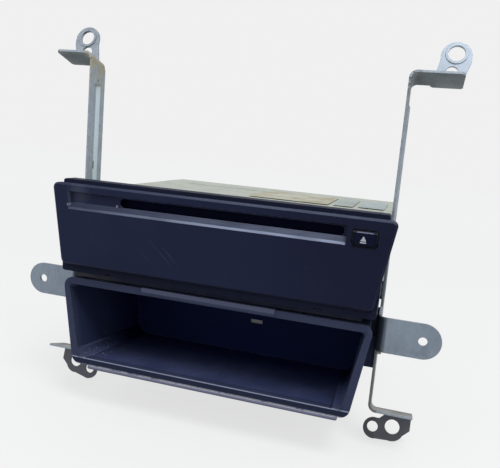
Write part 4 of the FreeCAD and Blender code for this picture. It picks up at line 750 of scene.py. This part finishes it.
# a spring-steel clip lies on the back of the pocket's rear wall and shows through its window
WINDOW_X = 8.9
WINDOW_Z = -25.3
CLIP_WIDTH = 15.0
CLIP_HEIGHT = 10.0
CLIP_CORNER = 2.0
CLIP_THICK = 0.8
clip_steel = plated("clip_steel", colour=rgb(212, 214, 212), shade=rgb(186, 188, 188),
                    stain=rgb(150, 148, 140), roughness=0.5, metallic=0.1, brushed=(1.0, 1.0, 10.0))
plate_piece("pocket_clip", [rounded_outline(CLIP_WIDTH, CLIP_HEIGHT, CLIP_CORNER)],
            Vector((WINDOW_X, POCKET_HIGH.y, WINDOW_Z)), -RIGHT, UP, CLIP_THICK, clip_steel, "deck")

# the frame's lower lip closes the gap under the slot panel
LIP_LENGTH = 176.0
LIP_HEIGHT = 2.6
LIP_CORNER = 0.4
LIP_THICK = 1.0
LIP_DROP = 0.9
lip_seat = Vector((0.0, FRAME_FRONT + LIP_THICK, PANEL_LOW.z - LIP_DROP))
plate_piece("frame_lip", [rounded_outline(LIP_LENGTH, LIP_HEIGHT, LIP_CORNER)], lip_seat, RIGHT, UP,
            LIP_THICK, FINISHES["frame_plastic"], "deck")

# a rolled lip under the pocket's rim, painted paler as if lit, with the worn edge that hands touch, also
# a painted highlight
ROLL_LENGTH = 150.4
ROLL_HEIGHT = 2.4
ROLL_CORNER = 1.1
ROLL_DEPTH = 2.7
ROLL_X = 2.1
ROLL_SET_BACK = 0.3
ROLL_SUNK = 0.05
roll_seat = Vector((ROLL_X, POCKET_LOW.y + ROLL_DEPTH + ROLL_SET_BACK,
                    RIM_FOOT - ROLL_HEIGHT / 2 + ROLL_SUNK))
plate_piece("pocket_lip", [rounded_outline(ROLL_LENGTH, ROLL_HEIGHT, ROLL_CORNER)], roll_seat, RIGHT, UP,
            ROLL_DEPTH, FINISHES["pocket_plastic"], "deck")

# painted shade: a dark block, finished as foam, fills the gap between the right strap, the case and the
# pocket's boss
STRAP_INNER_FACE = 92.7
STRAP_FRONT = 7.5
BOSS_TOP = -4.0
SHADE_BLOCK_SLACK = 0.3
SHADE_BLOCK_WIDTH = 8.0
SHADE_BLOCK_DEPTH = 15.4
SHADE_BLOCK_CORNER = 1.0
dark_block_height = CASE_FOOT - BOSS_TOP - 2 * SHADE_BLOCK_SLACK
dark_block_seat = Vector((STRAP_INNER_FACE - SHADE_BLOCK_SLACK - SHADE_BLOCK_WIDTH,
                    STRAP_FRONT + SHADE_BLOCK_SLACK + SHADE_BLOCK_DEPTH / 2,
                    BOSS_TOP + SHADE_BLOCK_SLACK + dark_block_height / 2))
plate_piece("painted_shade_block", [rounded_outline(SHADE_BLOCK_DEPTH, dark_block_height, SHADE_BLOCK_CORNER)], dark_block_seat, BACK, UP,
            SHADE_BLOCK_WIDTH, soft_rubber("painted_shade_foam", rgb(20, 23, 38), 1100), "deck",
            softness=0.12)

# coves round off the pocket's four inner corners, from the rim back to the rear wall
COVE_SUNK = 0.3
COVE_STEPS = 6
COVE_REACH = {"low": 6.0, "top": 3.0}
OPPOSITE = {"low": "top", "top": "low", "left": "right", "right": "left"}

# about where each corner's edge starts at the rim and ends at the rear wall
CORNER_ENDS = {
    ("low", "left"): ((-79, -15, -40), (-77, 63, -47)),
    ("low", "right"): ((79, -15, -40), (76, 63, -47)),
    ("top", "left"): ((-88, -15, 4), (-84, 63, 3)),
    ("top", "right"): ((87, -15, 4), (83, 63, 3)),
}


def vertex_near(node, about):
    """The node's own vertex that lies nearest to a place."""
    place = Vector(about) * MM
    vertices = frame["nodes"][node].data.vertices
    return min((vertex.co for vertex in vertices), key=lambda co: (co - place).length)


corners = {key: [vertex_near("storage_pocket", about) for about in ends]
           for key, ends in CORNER_ENDS.items()}


def cove_ring(mesh, level, side, end):
    """A corner filled by a hollow curve between two walls, at the front or the rear of the pocket."""
    root = corners[level, side][end].copy()
    first = (corners[level, OPPOSITE[side]][end] - root).normalized()
    second = (corners[OPPOSITE[level], side][end] - root).normalized()
    reach = COVE_REACH[level] * MM
    points = [root - (first + second) * COVE_SUNK * MM]
    for step in range(COVE_STEPS + 1):
        share = step / COVE_STEPS
        points.append((root + first * reach) * (1 - share) ** 2 + root * 2 * share * (1 - share)
                      + (root + second * reach) * share ** 2)
    return [mesh.verts.new(point) for point in points]


for level, side in CORNER_ENDS:
    mesh = bmesh.new()
    front_ring, rear_ring = [cove_ring(mesh, level, side, end) for end in (0, 1)]
    mesh.faces.new(front_ring)
    mesh.faces.new(reversed(rear_ring))
    for i, vert in enumerate(front_ring):
        k = (i + 1) % len(front_ring)
        mesh.faces.new((vert, rear_ring[i], rear_ring[k], front_ring[k])).smooth = True
    add_piece("cove_%s_%s" % (level, side), mesh, FINISHES["pocket_plastic"], "deck")

# ---------------------------------------------------------------- floor and light, in metres
BACKDROP = 0.871
FLOOR_TONE = 0.32
FLOOR_GLOW = (0.695, 0.74)
FLOOR_GLOW_REACH = (0.2, 1.6)
FLOOR_SIZE = 6.0
FLOOR_GAP = 0.0002
SKY = (0.93, 0.97, 1.0, 1.0)
SKY_STRENGTH = 0.42
LAMP_TARGET = Vector((0.0, 0.0, 0.04))
LAMPS = {
    "key": dict(place=Vector((0.4, -0.5, 1.05)), size=0.5, power=5.0),
    "fill": dict(place=Vector((-0.9, -0.8, 0.6)), size=0.9, power=1.5),
}


def seen_directly(tree):
    """1 for camera, mirror and glass rays, which show the pale backdrop, and 0 for the others."""
    path = tree.nodes.new("ShaderNodeLightPath")
    seen = path.outputs["Is Camera Ray"]
    for kind in ("Is Glossy Ray", "Is Transmission Ray"):
        either = tree.nodes.new("ShaderNodeMath")
        either.operation = "MAXIMUM"
        tree.links.new(seen, either.inputs[0])
        tree.links.new(path.outputs[kind], either.inputs[1])
        seen = either.outputs["Value"]
    return seen


def pale_floor():
    """A pale floor: a lift for directly seen rays over plain paint that keeps the object's shadow."""
    s = Surface("floor", roughness=0.9, specular=0.0)
    s.shader.inputs["Base Color"].default_value = (FLOOR_TONE, FLOOR_TONE, FLOOR_TONE, 1.0)
    reach = s.node("ShaderNodeVectorMath", operation="LENGTH")
    s.feed(reach.inputs[0], s.place)
    lift = s.span(reach.outputs["Value"], *FLOOR_GLOW_REACH, *FLOOR_GLOW)
    glow = s.node("ShaderNodeEmission")
    s.feed(glow.inputs["Strength"], s.product(seen_directly(s.tree), lift))
    both = s.node("ShaderNodeAddShader")
    s.feed(both.inputs[0], s.shader.outputs["BSDF"])
    s.feed(both.inputs[1], glow.outputs["Emission"])
    s.feed(s.tree.nodes["Material Output"].inputs["Surface"], both.outputs["Shader"])
    return s.material


def add_floor():
    mesh = bmesh.new()
    bmesh.ops.create_grid(mesh, x_segments=2, y_segments=2, size=FLOOR_SIZE / 2)
    floor = add_object("floor", mesh, pale_floor())
    floor.location.z = CAD_BOX[0][2] - FLOOR_GAP


def add_world():
    """A soft pale sky that lights the part, behind a plain backdrop that only direct rays see."""
    world = bpy.data.worlds.new("studio")
    bpy.context.scene.world = world
    world.use_nodes = True
    tree = world.node_tree
    soft = tree.nodes["Background"]
    soft.inputs["Color"].default_value = SKY
    soft.inputs["Strength"].default_value = SKY_STRENGTH
    pale = tree.nodes.new("ShaderNodeBackground")
    pale.inputs["Color"].default_value = (1.0, 1.0, 1.0, 1.0)
    pale.inputs["Strength"].default_value = BACKDROP
    blend = tree.nodes.new("ShaderNodeMixShader")
    tree.links.new(seen_directly(tree), blend.inputs[0])
    tree.links.new(soft.outputs["Background"], blend.inputs[1])
    tree.links.new(pale.outputs["Background"], blend.inputs[2])
    tree.links.new(blend.outputs["Shader"], tree.nodes["World Output"].inputs["Surface"])


def add_lamp(name, place, size, power):
    data = bpy.data.lights.new(name, "AREA")
    data.shape = "DISK"
    data.size = size
    data.energy = power
    lamp = bpy.data.objects.new(name, data)
    lamp.location = place
    lamp.rotation_euler = (LAMP_TARGET - place).to_track_quat("-Z", "Y").to_euler()
    bpy.context.scene.collection.objects.link(lamp)


add_floor()
add_world()
for name, lamp in LAMPS.items():
    add_lamp(name, **lamp)

# ---------------------------------------------------------------- camera
CAMERA_PLACE = (103.303, -313.042, 96.732)
CAMERA_TURN = (80.9506, -4.9441, 16.2991)
CAMERA_LENS = 42.256
CAMERA_SENSOR = 36.0
CAMERA_NEAR = 10.0

lens = bpy.data.cameras.new("camera")
lens.sensor_fit = "HORIZONTAL"
lens.sensor_width = CAMERA_SENSOR
lens.lens = CAMERA_LENS
lens.clip_start = CAMERA_NEAR * MM
camera = bpy.data.objects.new("camera", lens)
camera.location = Vector(CAMERA_PLACE) * MM
camera.rotation_euler = Euler([math.radians(a) for a in CAMERA_TURN])
bpy.context.scene.collection.objects.link(camera)
bpy.context.scene.camera = camera
bpy.context.scene.view_settings.view_transform = "Standard"
